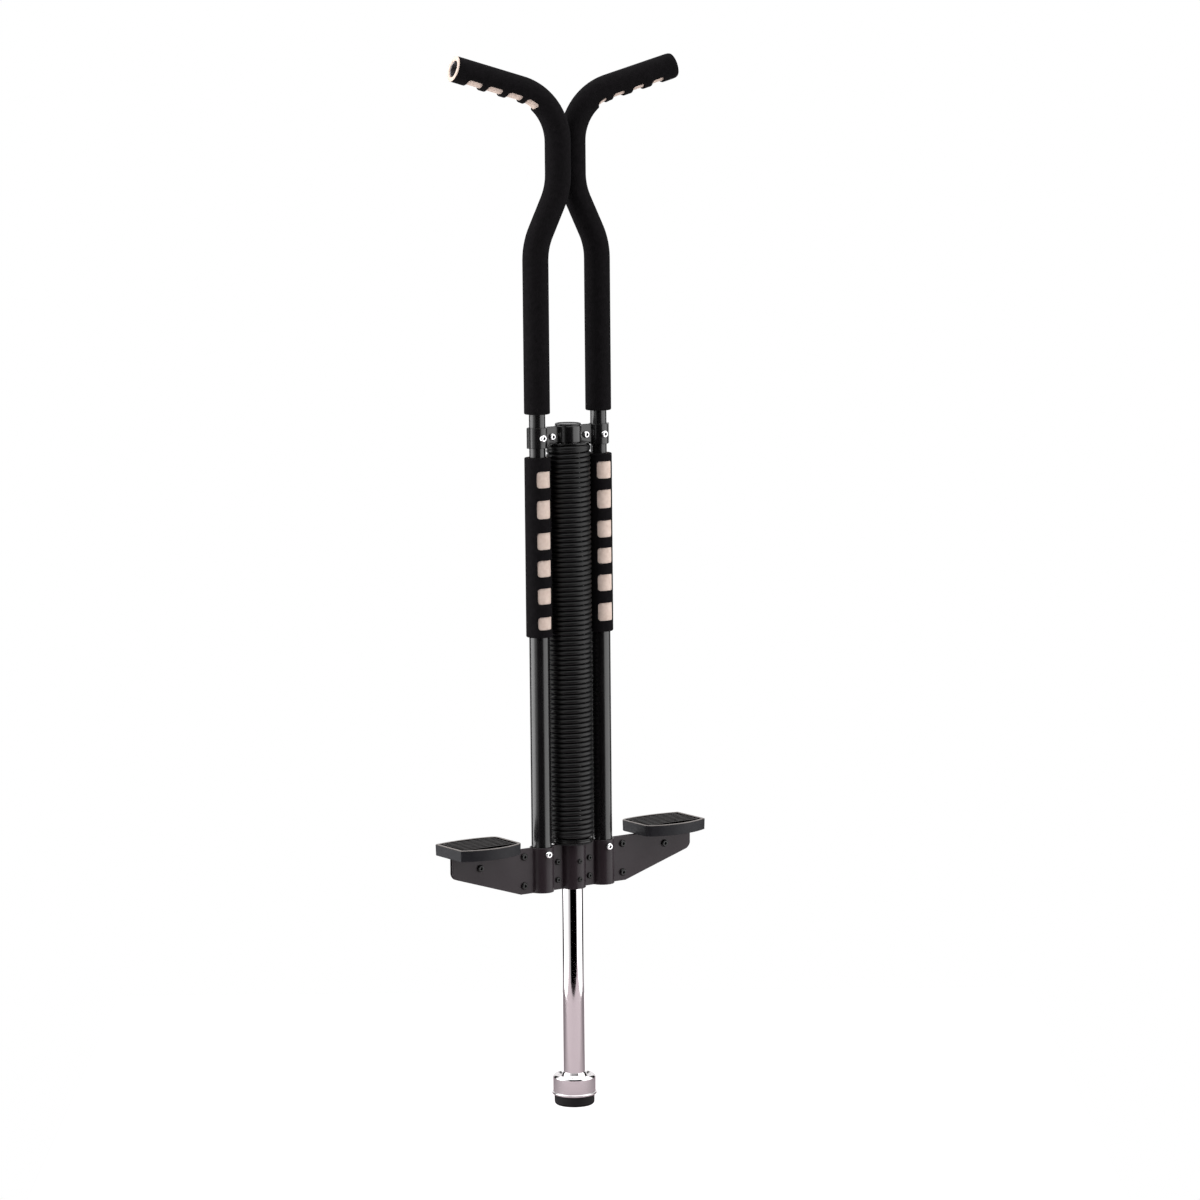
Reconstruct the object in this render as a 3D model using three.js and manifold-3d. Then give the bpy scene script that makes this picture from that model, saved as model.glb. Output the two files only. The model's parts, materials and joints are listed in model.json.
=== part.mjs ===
// A spring pogo stick for children: a round chromed leg slides in a two-tube frame against a coil
// spring, with two pedals on a stamped bracket. Above a stamped collar, two bent handles lean in side by
// side until their foam nearly meets, then turn out into the grips.
// Millimetres, +Z up. The origin is the middle of the rubber tip's flat underside, +X runs along the
// pedals, and -Y is the front. The right handle is the left one turned half a turn about the Z axis.

import * as THREE from 'three';
import { mergeVertices } from 'three/addons/utils/BufferGeometryUtils.js';
import Module from 'manifold-3d';

const wasm = await Module();
wasm.setup();

// ---- Driving dimensions ----

const GAP = 0.3; // between pieces that touch or nest
const TUBE_SIDES = 12;
const LEG_SIDES = 16;
const FASTENER_SIDES = 8;

// Side tubes
const TUBE_X = 36; // both side tubes' axes stand this far from the leg's axis
const HANDLE_R = 8;
const HANDLE_WALL = 1.2;
const LOWER_TUBE_R = 10;
const LOWER_TUBE_WALL = 1.6;
const LOWER_TUBE_TOP = 638.3;
const HANDLE_TUBE_BOTTOM = 518.3;

// Handle path, in the handle's own upright plane
const HANDLE_TWIST = THREE.MathUtils.degToRad(11);
const NECK_START = 834.3;
const NECK_INSET = 24.6; // how far the neck comes in from the tube axis
const NECK_ANGLE = THREE.MathUtils.degToRad(24.5);
const NECK_BEND_R = 65;
const NECK_STRAIGHT = 30.7;
const NECK_STEPS = 2;
const GRIP_BEND_R = 53.2;
const GRIP_RISE = THREE.MathUtils.degToRad(16.4); // the grips rise outwards by this angle
const GRIP_STRAIGHT = 72;
const GRIP_STEPS = 6;
const LINER_OVERHANG = 0.4; // the beige foam runs this far past the tube's open end
const END_RING = 1.2; // the beige foam's wide ring at the left handle's end only

// Foam sleeves: a black outer layer over a beige inner layer
const UPPER_FOAM_BOTTOM = 686.3;
const UPPER_FOAM_R = 12.6;
const UPPER_LINER_R = 10.7;
const LOWER_FOAM_R = 12.8;
const LOWER_LINER_R = 11.6;
const LOWER_FOAM_BOTTOM = 469.3;
const LOWER_FOAM_TOP = 644.3;

// Windows through the black foam
const GRIP_WINDOWS = 4;
const GRIP_WINDOW_LENGTH = { left: 15.5, right: 12.8 }; // cut by hand, like the lower ones
const GRIP_WINDOW_PITCH = 21.6;
const GRIP_WINDOW_FROM_END = 22.8;
const GRIP_WINDOW_HALF_ANGLE = THREE.MathUtils.degToRad(56);
const LOWER_WINDOW_HALF_ANGLE = THREE.MathUtils.degToRad(46);
// The lower windows are cut by hand. Each has the height of its middle and its own length, and each
// side's row is turned a little from the front towards +X.
const LOWER_WINDOWS = {
  left: {
    turn: THREE.MathUtils.degToRad(7),
    places: [[483.3, 12.5], [509.9, 15.5], [536.8, 16], [563.6, 16.5], [594.3, 18], [623.3, 16]],
  },
  right: {
    turn: THREE.MathUtils.degToRad(2),
    places: [[489, 17.7], [517.7, 16.2], [544.3, 15.3], [570.6, 16.5], [599.9, 18], [628.3, 16.8]],
  },
};

// Leg, foot and spring
const LEG_R = 10.5;
const LEG_WALL = 1.5;
const LEG_BOTTOM = 16.3;
const LEG_TOP = 670.3;
const CAP_SPIGOT = 12;
const CAP_HEIGHT = 4.4;
const CAP_CHAMFER = 1.2;
const CUP_R = 20.9;
const CUP_BOTTOM = 10.4;
const CUP_FLOOR = 22;
const CUP_BEAD = 1.1; // the bead round the cup's mouth stands out by this much
const CUP_BEAD_TOP = 12.2;
const CUP_CREST = 30.1; // top of the rounded shoulder
const CUP_NECK_TOP = 32.5;
const CUP_NECK_WALL = 0.7;
const CUP_NECK_FLARE = 1.6; // the neck is this thick where it meets the shoulder
// The shoulder's profile: how far in from the skirt, and how far below the crest
const CUP_SHOULDER = [[0, 4.8], [0.6, 2.6], [2, 0.9], [4, 0], [6, 0.6], [7.2, 1.8]];
const CUP_CAVITY_R = 17.3;
const TIP_R = 19.9;
const TIP_EDGE = [[3, 0], [1, 0.8], [0, 2.6]]; // the eased edge: in from the side, up from the ground
const TIP_SPIGOT_TOP = 13.4;
const SPRING_R = 19.7; // to the middle of the wire
const WIRE_R = 2;
const COILS = 81;
const SPRING_BOTTOM = 268;
const SPRING_TOP = 655.2;
const SEAT_Z = 264.4;

// Bushes that guide the leg
const BUSH_BORE_R = 10.9;
const BUSH_R = 11.5;
const TOP_BUSH_RIM_R = 12.7;
const TOP_BUSH_RIM_TOP = 2.3; // above the collar
const TOP_BUSH_CHAMFER = 0.6;

// Collar and bracket, each two stamped sheets wrapped round the tubes and the bush
const WRAP_CLEARANCE = 0.4;
const COLLAR = { bottom: 653.3, top: 673.3, sheet: 1.3, halfGap: 0.4, halfLength: 47.5 };
const COLLAR_MIDDLE_BOTTOM = 657.3;
const COLLAR_SCREW_Z = 663.3;
const COLLAR_FLAT_SCREW_X = 19.8;
const BRACKET = { bottom: 217.7, top: 262.3, sheet: 1.4, halfGap: 0.9, halfLength: 141.2 };
const ARM_KINK_X = 62.3;
const ARM_END_BOTTOM = 242.3;
const ARM_CORNER_R = 5;
const ARM_RIVETS = [[58.6, 254.8], [58.6, 226], [109.6, 249.3]]; // x and z on the right arm
const FLAT_RIVET_X = 18.8;
const BRACKET_FLAT_Z = [245.3, 227.3]; // heights of the flat rivets and the bush pins
const TUBE_SCREW_Z = 255.8;

// Pedals
const PEDAL_INNER = 74;
const PEDAL_OUTER = 145;
const PEDAL_BOTTOM = 262.6;
const PEDAL_TOP = 273.6;
const PEDAL_CORNER_Y = 22.9;
const PEDAL_INNER_CORNER_R = 8;
const PEDAL_FRONT_BULGE = 9.4; // the long edges swell by this much at their middle
const PEDAL_BACK_BULGE = 4.8;
const PEDAL_EDGE_STEPS = 8;
const PEDAL_PLATE = 3;
const PEDAL_SKIRT = 2.6;
const RIM_WIDTH = 3;
const RIM_HEIGHT = 2;
const TREAD_RIBS = 7;
const TREAD_RIB_PITCH = 6;
const TREAD_BASE = 0.8; // thickness of the mat under its ribs
const TREAD_DIP = 0.1; // the ribs stop this far below the rim
const WEB_CORNERS = [[80, 234.3], [136, 248.3]]; // x and z of the web's lower corners

// Fasteners
const SCREW = { head: 3.6, headHeight: 2.2, shank: 1.9, socket: 1.9, socketDepth: 1.3 };
const NUT = { across: 3.9, height: 2.4, bore: 2.25 };
const RIVET = { head: 3.6, headHeight: 1.9, shank: 2.2 };
const SMALL_RIVET = { head: 3, headHeight: 1.6, shank: 1.8 };
const BUSH_PIN = { head: 2.5, headHeight: 1.4, shank: 1.4, tipR: 11 };
const HOLE_CLEARANCE = 0.4;

// ---- Materials ----

const paint = (color, roughness, metalness) =>
  new THREE.MeshStandardMaterial({ color, roughness, metalness });

const glossBlack = paint(0x161417, 0.25, 0.4);
const satinBlack = paint(0x4a4246, 0.45, 0.4);
const blackFoam = paint(0x1a181a, 0.95, 0);
const beigeFoam = paint(0xd7c4b8, 0.9, 0);
const blackNylon = paint(0x1c1c1e, 0.5, 0);
const pedalPlastic = paint(0x2d2d32, 0.6, 0);
const treadRubber = paint(0x1b1b1d, 0.85, 0);
const chrome = paint(0xd8d4d6, 0.08, 1);
const brightSteel = paint(0xe0e0e2, 0.2, 1);
const springSteel = paint(0x18181a, 0.35, 0.5);
const blackRubber = paint(0x17171a, 0.8, 0);

// ---- Joining and cutting ----

function toSolid(geometry) {
  const bare = geometry.clone();
  bare.deleteAttribute('normal');
  bare.deleteAttribute('uv');
  const merged = mergeVertices(bare, 1e-4);
  return new wasm.Manifold(new wasm.Mesh({
    numProp: 3,
    vertProperties: new Float32Array(merged.attributes.position.array),
    triVerts: new Uint32Array(merged.index.array),
  }));
}

function toGeometry(solid) {
  const mesh = solid.getMesh();
  const geometry = new THREE.BufferGeometry();
  geometry.setAttribute('position', new THREE.BufferAttribute(mesh.vertProperties, 3));
  geometry.setIndex(new THREE.BufferAttribute(mesh.triVerts, 1));
  return geometry;
}

function cut(geometry, tools) {
  let solid = toSolid(geometry);
  for (const tool of tools) {
    solid = solid.subtract(toSolid(tool));
  }
  return toGeometry(solid);
}

function join(geometries) {
  let solid = toSolid(geometries[0]);
  for (const other of geometries.slice(1)) {
    solid = solid.add(toSolid(other));
  }
  return toGeometry(solid);
}

const overlap = (a, b) => toGeometry(toSolid(a).intersect(toSolid(b)));

// ---- Basic shapes ----

function piece(name, geometry, material) {
  const mesh = new THREE.Mesh(geometry, material);
  mesh.name = name;
  return mesh;
}

// A turned solid about the Z axis. The profile is a list of [radius, height], up the outside first.
function turned(profile, sides) {
  const points = profile.map(([radius, height]) => new THREE.Vector2(radius, height));
  return new THREE.LatheGeometry(points, sides).rotateX(Math.PI / 2);
}

function turnedTube(outer, inner, bottom, top, sides) {
  return turned([[inner, bottom], [outer, bottom], [outer, top], [inner, top], [inner, bottom]], sides);
}

// A straight round bar along Y, with its middle at x, y, z.
function barAlongY(radius, length, x, y, z) {
  return new THREE.CylinderGeometry(radius, radius, length, FASTENER_SIDES).translate(x, y, z);
}

function box(from, to) {
  const size = new THREE.Vector3().subVectors(to, from);
  const middle = new THREE.Vector3().addVectors(from, to).multiplyScalar(0.5);
  return new THREE.BoxGeometry(size.x, size.y, size.z).translate(middle.x, middle.y, middle.z);
}

// A shape in X and Y made into a slab between two heights.
function slab(shape, bottom, top, curveSegments = 6) {
  const geometry = new THREE.ExtrudeGeometry(shape, {
    depth: top - bottom,
    bevelEnabled: false,
    curveSegments,
  });
  return geometry.translate(0, 0, bottom);
}

// A shape in X and Z made into a wall as thick as 2 * halfDepth, with Y = 0 in its middle.
function wall(shape, halfDepth) {
  const geometry = new THREE.ExtrudeGeometry(shape, { depth: 2 * halfDepth, bevelEnabled: false });
  return geometry.rotateX(Math.PI / 2).translate(0, halfDepth, 0);
}

// A curve known by its stations, each with a point and two directions square to the curve.
class StationCurve extends THREE.Curve {
  constructor(stations) {
    super();
    this.stations = stations;
  }

  getSpacedPoints() {
    return this.stations.map((station) => station.point.clone());
  }

  computeFrenetFrames() {
    return {
      tangents: this.stations.map((s) => new THREE.Vector3().crossVectors(s.normal, s.binormal)),
      normals: this.stations.map((s) => s.normal),
      binormals: this.stations.map((s) => s.binormal),
    };
  }
}

function sweep(shape, stations) {
  return new THREE.ExtrudeGeometry(shape, {
    steps: stations.length - 1,
    extrudePath: new StationCurve(stations),
    curveSegments: TUBE_SIDES,
  });
}

function polygonPath(radius, sides) {
  const points = [];
  for (let i = 0; i < sides; i += 1) {
    const angle = (2 * Math.PI * i) / sides;
    points.push(new THREE.Vector2(radius * Math.cos(angle), radius * Math.sin(angle)));
  }
  return points;
}

function ringShape(outer, inner) {
  const shape = new THREE.Shape(polygonPath(outer, TUBE_SIDES));
  shape.holes.push(new THREE.Path(polygonPath(inner, TUBE_SIDES)));
  return shape;
}

// ---- The left handle's path ----

// Walks through the handle's plane: v is the way in from the tube axis, and the heading is
// measured from straight up towards v.
class HandleWalk {
  constructor(z) {
    this.v = 0;
    this.z = z;
    this.heading = 0;
    this.stations = [];
    this.mark();
  }

  mark() {
    const inward = new THREE.Vector3(Math.cos(HANDLE_TWIST), -Math.sin(HANDLE_TWIST), 0);
    const up = new THREE.Vector3(0, 0, 1);
    const axis = new THREE.Vector3(-TUBE_X, 0, 0);
    const normal = inward.clone().multiplyScalar(Math.cos(this.heading));
    normal.addScaledVector(up, -Math.sin(this.heading));
    this.stations.push({
      point: axis.addScaledVector(inward, this.v).addScaledVector(up, this.z),
      normal,
      binormal: new THREE.Vector3().crossVectors(up, inward),
    });
  }

  forward(distance) {
    this.v += distance * Math.sin(this.heading);
    this.z += distance * Math.cos(this.heading);
    this.mark();
  }

  turn(angle, radius, steps) {
    const chord = 2 * radius * Math.sin(Math.abs(angle) / steps / 2);
    for (let i = 0; i < steps; i += 1) {
      this.heading += angle / steps / 2;
      this.v += chord * Math.sin(this.heading);
      this.z += chord * Math.cos(this.heading);
      this.heading += angle / steps / 2;
      this.mark();
    }
  }
}

const NECK_RISE = 2 * NECK_BEND_R * (1 - Math.cos(NECK_ANGLE));
const NECK_SLOPE_LENGTH = (NECK_INSET - NECK_RISE) / Math.sin(NECK_ANGLE);

const GRIP_BEND = Math.PI / 2 - GRIP_RISE;

// Walks from a height on the side tube, through the neck, to where the bend into the grip starts.
function walkToBend(bottom) {
  const walk = new HandleWalk(bottom);
  walk.forward(NECK_START - bottom);
  walk.turn(NECK_ANGLE, NECK_BEND_R, NECK_STEPS);
  walk.forward(NECK_SLOPE_LENGTH);
  walk.turn(-NECK_ANGLE, NECK_BEND_R, NECK_STEPS);
  walk.forward(NECK_STRAIGHT);
  return walk;
}

// The stations from a height on the side tube to a distance short of the handle's end.
function handleStations(bottom, short) {
  const walk = walkToBend(bottom);
  walk.turn(-GRIP_BEND, GRIP_BEND_R, GRIP_STEPS);
  walk.forward(GRIP_STRAIGHT - short);
  return walk.stations;
}

// The station on the grip at a distance back from the handle's end.
function gripStation(fromEnd) {
  const walk = walkToBend(UPPER_FOAM_BOTTOM);
  const leftOnBend = Math.max(0, fromEnd - GRIP_STRAIGHT) / GRIP_BEND_R;
  walk.turn(leftOnBend - GRIP_BEND, GRIP_BEND_R, GRIP_STEPS);
  walk.forward(Math.max(0, GRIP_STRAIGHT - fromEnd));
  return walk.stations.at(-1);
}

function gripFrame(fromEnd) {
  const { point, normal, binormal } = gripStation(fromEnd);
  return new THREE.Matrix4()
    .makeBasis(normal, binormal, new THREE.Vector3().crossVectors(normal, binormal))
    .setPosition(point);
}

// ---- Handles and foam ----

function crossHole(x, z, shank, halfLength) {
  return barAlongY(shank + HOLE_CLEARANCE, 2 * halfLength, x, 0, z);
}

function handleTube() {
  const stations = handleStations(HANDLE_TUBE_BOTTOM, LINER_OVERHANG);
  const tube = sweep(ringShape(HANDLE_R, HANDLE_R - HANDLE_WALL), stations);
  return cut(tube, [crossHole(-TUBE_X, COLLAR_SCREW_Z, SCREW.shank, 2 * HANDLE_R)]);
}

function upperLiner() {
  return sweep(ringShape(UPPER_LINER_R, HANDLE_R + GAP), handleStations(UPPER_FOAM_BOTTOM, 0));
}

function endRing() {
  return sweep(ringShape(UPPER_FOAM_R, HANDLE_R + GAP), [gripStation(END_RING), gripStation(0)]);
}

// The part of a foam layer that a window takes away, around -X of its own frame and along Z.
function windowCutter(outer, halfAngle, length) {
  const depth = outer * Math.cos(halfAngle);
  const halfWidth = outer * Math.sin(halfAngle);
  const from = new THREE.Vector3(-outer - 2, -halfWidth, -length / 2);
  const to = new THREE.Vector3(-depth, halfWidth, length / 2);
  return box(from, to);
}

// The black layer, which stops a distance short of the handle's end.
function upperFoam(short, windowLength) {
  const stations = handleStations(UPPER_FOAM_BOTTOM, short);
  const sleeve = sweep(ringShape(UPPER_FOAM_R, UPPER_LINER_R + GAP), stations);
  const cutters = [];
  for (let i = 0; i < GRIP_WINDOWS; i += 1) {
    const cutter = windowCutter(UPPER_FOAM_R, GRIP_WINDOW_HALF_ANGLE, windowLength);
    cutters.push(cutter.applyMatrix4(gripFrame(GRIP_WINDOW_FROM_END + i * GRIP_WINDOW_PITCH)));
  }
  return cut(sleeve, cutters);
}

function lowerTube() {
  const bore = LOWER_TUBE_R - LOWER_TUBE_WALL;
  const tube = turnedTube(LOWER_TUBE_R, bore, BRACKET.bottom, LOWER_TUBE_TOP, TUBE_SIDES);
  tube.translate(-TUBE_X, 0, 0);
  return cut(tube, [crossHole(-TUBE_X, TUBE_SCREW_Z, SCREW.shank, 2 * LOWER_TUBE_R)]);
}

function lowerLiner() {
  const inner = LOWER_TUBE_R + GAP;
  return turnedTube(LOWER_LINER_R, inner, LOWER_FOAM_BOTTOM, LOWER_FOAM_TOP, TUBE_SIDES)
    .translate(-TUBE_X, 0, 0);
}

// The windows face the front on both sides, so each side's foam is cut on its own.
function lowerFoam({ turn, places }, x) {
  const bore = LOWER_LINER_R + GAP;
  const sleeve = turnedTube(LOWER_FOAM_R, bore, LOWER_FOAM_BOTTOM, LOWER_FOAM_TOP, TUBE_SIDES);
  const cutters = [];
  for (const [middle, height] of places) {
    const cutter = windowCutter(LOWER_FOAM_R, LOWER_WINDOW_HALF_ANGLE, height);
    cutter.rotateZ(Math.PI / 2 + turn);
    cutters.push(cutter.translate(0, 0, middle));
  }
  return cut(sleeve, cutters).translate(x, 0, 0);
}

// ---- Collar and bracket ----

// The front sheet's outline seen from above: flats joined by wraps round the tubes and the bush.
function sheetOutline({ sheet, halfGap, halfLength }, tubeR) {
  const wraps = [
    { x: -TUBE_X, r: tubeR + WRAP_CLEARANCE },
    { x: 0, r: BUSH_R + WRAP_CLEARANCE },
    { x: TUBE_X, r: tubeR + WRAP_CLEARANCE },
  ];
  const front = halfGap + sheet;
  const shape = new THREE.Shape();
  shape.moveTo(-halfLength, -front);
  for (const { x, r } of wraps) {
    const lift = Math.asin(front / (r + sheet));
    shape.absarc(x, 0, r + sheet, Math.PI + lift, 2 * Math.PI - lift, false);
  }
  shape.lineTo(halfLength, -front);
  shape.lineTo(halfLength, -halfGap);
  for (const { x, r } of wraps.reverse()) {
    const lift = Math.asin(halfGap / r);
    shape.absarc(x, 0, r, -lift, Math.PI + lift, true);
  }
  shape.lineTo(-halfLength, -halfGap);
  return shape;
}

function collarSheet() {
  const sheet = slab(sheetOutline(COLLAR, HANDLE_R), COLLAR.bottom, COLLAR.top);
  const inside = TUBE_X - HANDLE_R - WRAP_CLEARANCE - COLLAR.sheet;
  const undercut = box(
    new THREE.Vector3(-inside, -2 * BUSH_R, COLLAR.bottom - 1),
    new THREE.Vector3(inside, 1, COLLAR_MIDDLE_BOTTOM),
  );
  const holes = [];
  for (const x of [-TUBE_X, -COLLAR_FLAT_SCREW_X, COLLAR_FLAT_SCREW_X, TUBE_X]) {
    holes.push(crossHole(x, COLLAR_SCREW_Z, SCREW.shank, 2 * BUSH_R));
  }
  return cut(sheet, [undercut, ...holes]);
}

// The bracket seen from the front: level along the top, with arms that taper outwards from below.
function bracketFace() {
  const { bottom, top, halfLength } = BRACKET;
  const slope = (ARM_END_BOTTOM - bottom) / (halfLength - ARM_KINK_X);
  const shape = new THREE.Shape();
  shape.moveTo(-ARM_KINK_X, bottom);
  shape.lineTo(ARM_KINK_X, bottom);
  shape.lineTo(halfLength - ARM_CORNER_R, ARM_END_BOTTOM - slope * ARM_CORNER_R);
  shape.quadraticCurveTo(halfLength, ARM_END_BOTTOM, halfLength, ARM_END_BOTTOM + ARM_CORNER_R);
  shape.lineTo(halfLength, top);
  shape.lineTo(-halfLength, top);
  shape.lineTo(-halfLength, ARM_END_BOTTOM + ARM_CORNER_R);
  shape.quadraticCurveTo(
    -halfLength, ARM_END_BOTTOM,
    ARM_CORNER_R - halfLength, ARM_END_BOTTOM - slope * ARM_CORNER_R,
  );
  return shape;
}

function armRivetPlaces() {
  return ARM_RIVETS.flatMap(([x, z]) => [[-x, z], [x, z]]);
}

function flatRivetPlaces() {
  return BRACKET_FLAT_Z.flatMap((z) => [[-FLAT_RIVET_X, z], [FLAT_RIVET_X, z]]);
}

function bracketSheet() {
  const folded = slab(sheetOutline(BRACKET, LOWER_TUBE_R), BRACKET.bottom, BRACKET.top);
  const trimmed = overlap(folded, wall(bracketFace(), 2 * BUSH_R));
  const reach = 2 * BUSH_R;
  const holes = [];
  for (const [x, z] of armRivetPlaces()) {
    holes.push(crossHole(x, z, RIVET.shank, reach));
  }
  for (const [x, z] of flatRivetPlaces()) {
    holes.push(crossHole(x, z, SMALL_RIVET.shank, reach));
  }
  for (const x of [-TUBE_X, TUBE_X]) {
    holes.push(crossHole(x, TUBE_SCREW_Z, SCREW.shank, reach));
  }
  for (const z of BRACKET_FLAT_Z) {
    holes.push(crossHole(0, z, BUSH_PIN.shank, reach));
  }
  return cut(trimmed, holes);
}

function topBush() {
  const rimR = TOP_BUSH_RIM_R;
  const rimTop = COLLAR.top + TOP_BUSH_RIM_TOP;
  const rimBottom = COLLAR.top + GAP;
  return turned([
    [BUSH_BORE_R, COLLAR_MIDDLE_BOTTOM], [BUSH_R, COLLAR_MIDDLE_BOTTOM], [BUSH_R, rimBottom],
    [rimR, rimBottom], [rimR, rimTop - TOP_BUSH_CHAMFER], [rimR - TOP_BUSH_CHAMFER, rimTop],
    [BUSH_BORE_R, rimTop],
    [BUSH_BORE_R, COLLAR_MIDDLE_BOTTOM],
  ], LEG_SIDES);
}

function bottomBush() {
  const tube = turnedTube(BUSH_R, BUSH_BORE_R, BRACKET.bottom, BRACKET.top, LEG_SIDES);
  const pinHole = (z) => barAlongY(BUSH_PIN.shank + HOLE_CLEARANCE, BUSH_R, 0, -BUSH_R, z);
  return cut(tube, BRACKET_FLAT_Z.map(pinHole));
}

// ---- Fasteners, all along Y with their heads at the front ----

// A turned solid about the Y axis. The profile is a list of [radius, y], away from the head.
function turnedAlongY(profile, sides) {
  const points = profile.map(([radius, y]) => new THREE.Vector2(radius, y));
  return new THREE.LatheGeometry(points, sides);
}

// A dome-headed socket screw that clamps a stack between y = -reach and y = reach.
function socketScrew(x, z, reach) {
  const under = -reach - GAP;
  const face = under - SCREW.headHeight;
  const end = reach + 2 * GAP + NUT.height + 0.5;
  const body = turnedAlongY([
    [0, face], [0.75 * SCREW.head, face], [SCREW.head, face + 1], [SCREW.head, under],
    [SCREW.shank, under], [SCREW.shank, end], [0, end],
  ], FASTENER_SIDES);
  const socket = new THREE.CylinderGeometry(SCREW.socket, SCREW.socket, 2 * SCREW.socketDepth, 6)
    .translate(0, face, 0);
  return cut(body, [socket]).translate(x, 0, z);
}

function hexNut(x, z, reach) {
  const shape = new THREE.Shape(polygonPath(NUT.across, 6));
  shape.holes.push(new THREE.Path(polygonPath(NUT.bore, FASTENER_SIDES)));
  const nut = new THREE.ExtrudeGeometry(shape, { depth: NUT.height, bevelEnabled: false });
  return nut.rotateX(Math.PI / 2).translate(x, reach + GAP + NUT.height, z);
}

// A rivet with a flattened dome on both sides of a stack between y = -reach and y = reach.
function rivet({ head, headHeight, shank }, x, z, reach) {
  const under = reach + GAP;
  const face = under + headHeight;
  return turnedAlongY([
    [0, -face], [0.7 * head, -face], [head, -under], [shank, -under],
    [shank, under], [head, under], [0.7 * head, face], [0, face],
  ], FASTENER_SIDES).translate(x, 0, z);
}

function bushPin(z) {
  const { head, headHeight, shank, tipR } = BUSH_PIN;
  const under = -(BUSH_R + WRAP_CLEARANCE + BRACKET.sheet + GAP);
  return turnedAlongY([
    [0, under - headHeight], [0.7 * head, under - headHeight], [head, under],
    [shank, under], [shank, -tipR], [0, -tipR],
  ], FASTENER_SIDES).translate(0, 0, z);
}

// ---- Pedals ----

// A pedal's outline from above: straight ends, a rounded inner end and long edges that swell. The
// side is -1 for the left pedal and 1 for the right one.
function pedalOutline(side, inset) {
  const inner = PEDAL_INNER + inset;
  const outer = PEDAL_OUTER - inset;
  const corner = PEDAL_CORNER_Y - inset;
  const radius = PEDAL_INNER_CORNER_R - inset;
  const edge = (bulge, facing) => {
    const points = [];
    for (let i = 0; i <= PEDAL_EDGE_STEPS; i += 1) {
      const x = inner + radius + ((outer - inner - radius) * i) / PEDAL_EDGE_STEPS;
      const share = (x - inner) / (outer - inner);
      const swell = 4 * bulge * share * (1 - share);
      points.push(new THREE.Vector2(side * x, facing * (corner + swell)));
    }
    return points;
  };
  const front = edge(PEDAL_FRONT_BULGE, -1);
  const back = edge(PEDAL_BACK_BULGE, 1);
  const shape = new THREE.Shape([...front, ...back.reverse()]);
  shape.quadraticCurveTo(side * inner, corner, side * inner, corner - radius);
  shape.lineTo(side * inner, radius - corner);
  shape.quadraticCurveTo(side * inner, -corner, front[0].x, front[0].y);
  return shape;
}

// The web under the pedal that hangs between the bracket's two sheets and takes the outer rivet.
function pedalWeb(side) {
  const top = PEDAL_TOP - RIM_HEIGHT - 1;
  const [[innerX, innerZ], [outerX, outerZ]] = WEB_CORNERS;
  const corners = [[innerX, innerZ], [outerX, outerZ], [outerX, top], [innerX, top]];
  const shape = new THREE.Shape(corners.map(([x, z]) => new THREE.Vector2(side * x, z)));
  return wall(shape, BRACKET.halfGap - GAP);
}

function pedalBody(side) {
  const plateTop = PEDAL_TOP - RIM_HEIGHT;
  const block = slab(pedalOutline(side, 0), PEDAL_BOTTOM, PEDAL_TOP);
  const recess = slab(pedalOutline(side, RIM_WIDTH), plateTop, PEDAL_TOP + 1);
  const hollow = slab(pedalOutline(side, PEDAL_SKIRT), PEDAL_BOTTOM - 1, plateTop - PEDAL_PLATE);
  const shell = cut(block, [recess, hollow]);
  const [rivetX, rivetZ] = ARM_RIVETS.at(-1);
  const hole = crossHole(side * rivetX, rivetZ, RIVET.shank, BUSH_R);
  return cut(join([shell, pedalWeb(side)]), [hole]);
}

// A ribbed mat in the pedal's recess. Its ribs run along X.
function pedalTread(side) {
  const bottom = PEDAL_TOP - RIM_HEIGHT + GAP;
  const baseTop = bottom + TREAD_BASE;
  const ribTop = PEDAL_TOP - TREAD_DIP;
  const outline = pedalOutline(side, RIM_WIDTH + GAP);
  const ribs = [];
  for (let i = 0; i < TREAD_RIBS; i += 1) {
    const y = (i - (TREAD_RIBS - 1) / 2) * TREAD_RIB_PITCH;
    const half = TREAD_RIB_PITCH / 4;
    ribs.push(box(
      new THREE.Vector3(-PEDAL_OUTER, y - half, baseTop - TREAD_BASE / 4),
      new THREE.Vector3(PEDAL_OUTER, y + half, ribTop),
    ));
  }
  return overlap(join([slab(outline, bottom, baseTop), ...ribs]), slab(outline, bottom, ribTop));
}

// ---- Leg, foot and spring ----

const SEAT_FLANGE = 2;
const FLANGE_R = SPRING_R + 1;
const SEAT_HUB_R = 13;
const SEAT_HUB_TOP = SEAT_Z + 14;
const SEAT_BORE_R = LEG_R + 0.4;
const PIN_R = 2;
const PIN_Z = SEAT_Z + 8;
const THRUST_BOTTOM = SEAT_Z + SEAT_FLANGE + GAP;

const pinHoleAlongX = () =>
  new THREE.CylinderGeometry(PIN_R + HOLE_CLEARANCE, PIN_R + HOLE_CLEARANCE, 4 * SEAT_HUB_R, FASTENER_SIDES)
    .rotateZ(Math.PI / 2)
    .translate(0, 0, PIN_Z);

function legTube() {
  return cut(turnedTube(LEG_R, LEG_R - LEG_WALL, LEG_BOTTOM, LEG_TOP, LEG_SIDES), [pinHoleAlongX()]);
}

function springSeat() {
  const flangeTop = SEAT_Z + SEAT_FLANGE;
  const seat = turned([
    [SEAT_BORE_R, SEAT_Z], [FLANGE_R, SEAT_Z], [FLANGE_R, flangeTop], [SEAT_HUB_R, flangeTop],
    [SEAT_HUB_R, SEAT_HUB_TOP], [SEAT_BORE_R, SEAT_HUB_TOP], [SEAT_BORE_R, SEAT_Z],
  ], LEG_SIDES);
  return cut(seat, [pinHoleAlongX()]);
}

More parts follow.
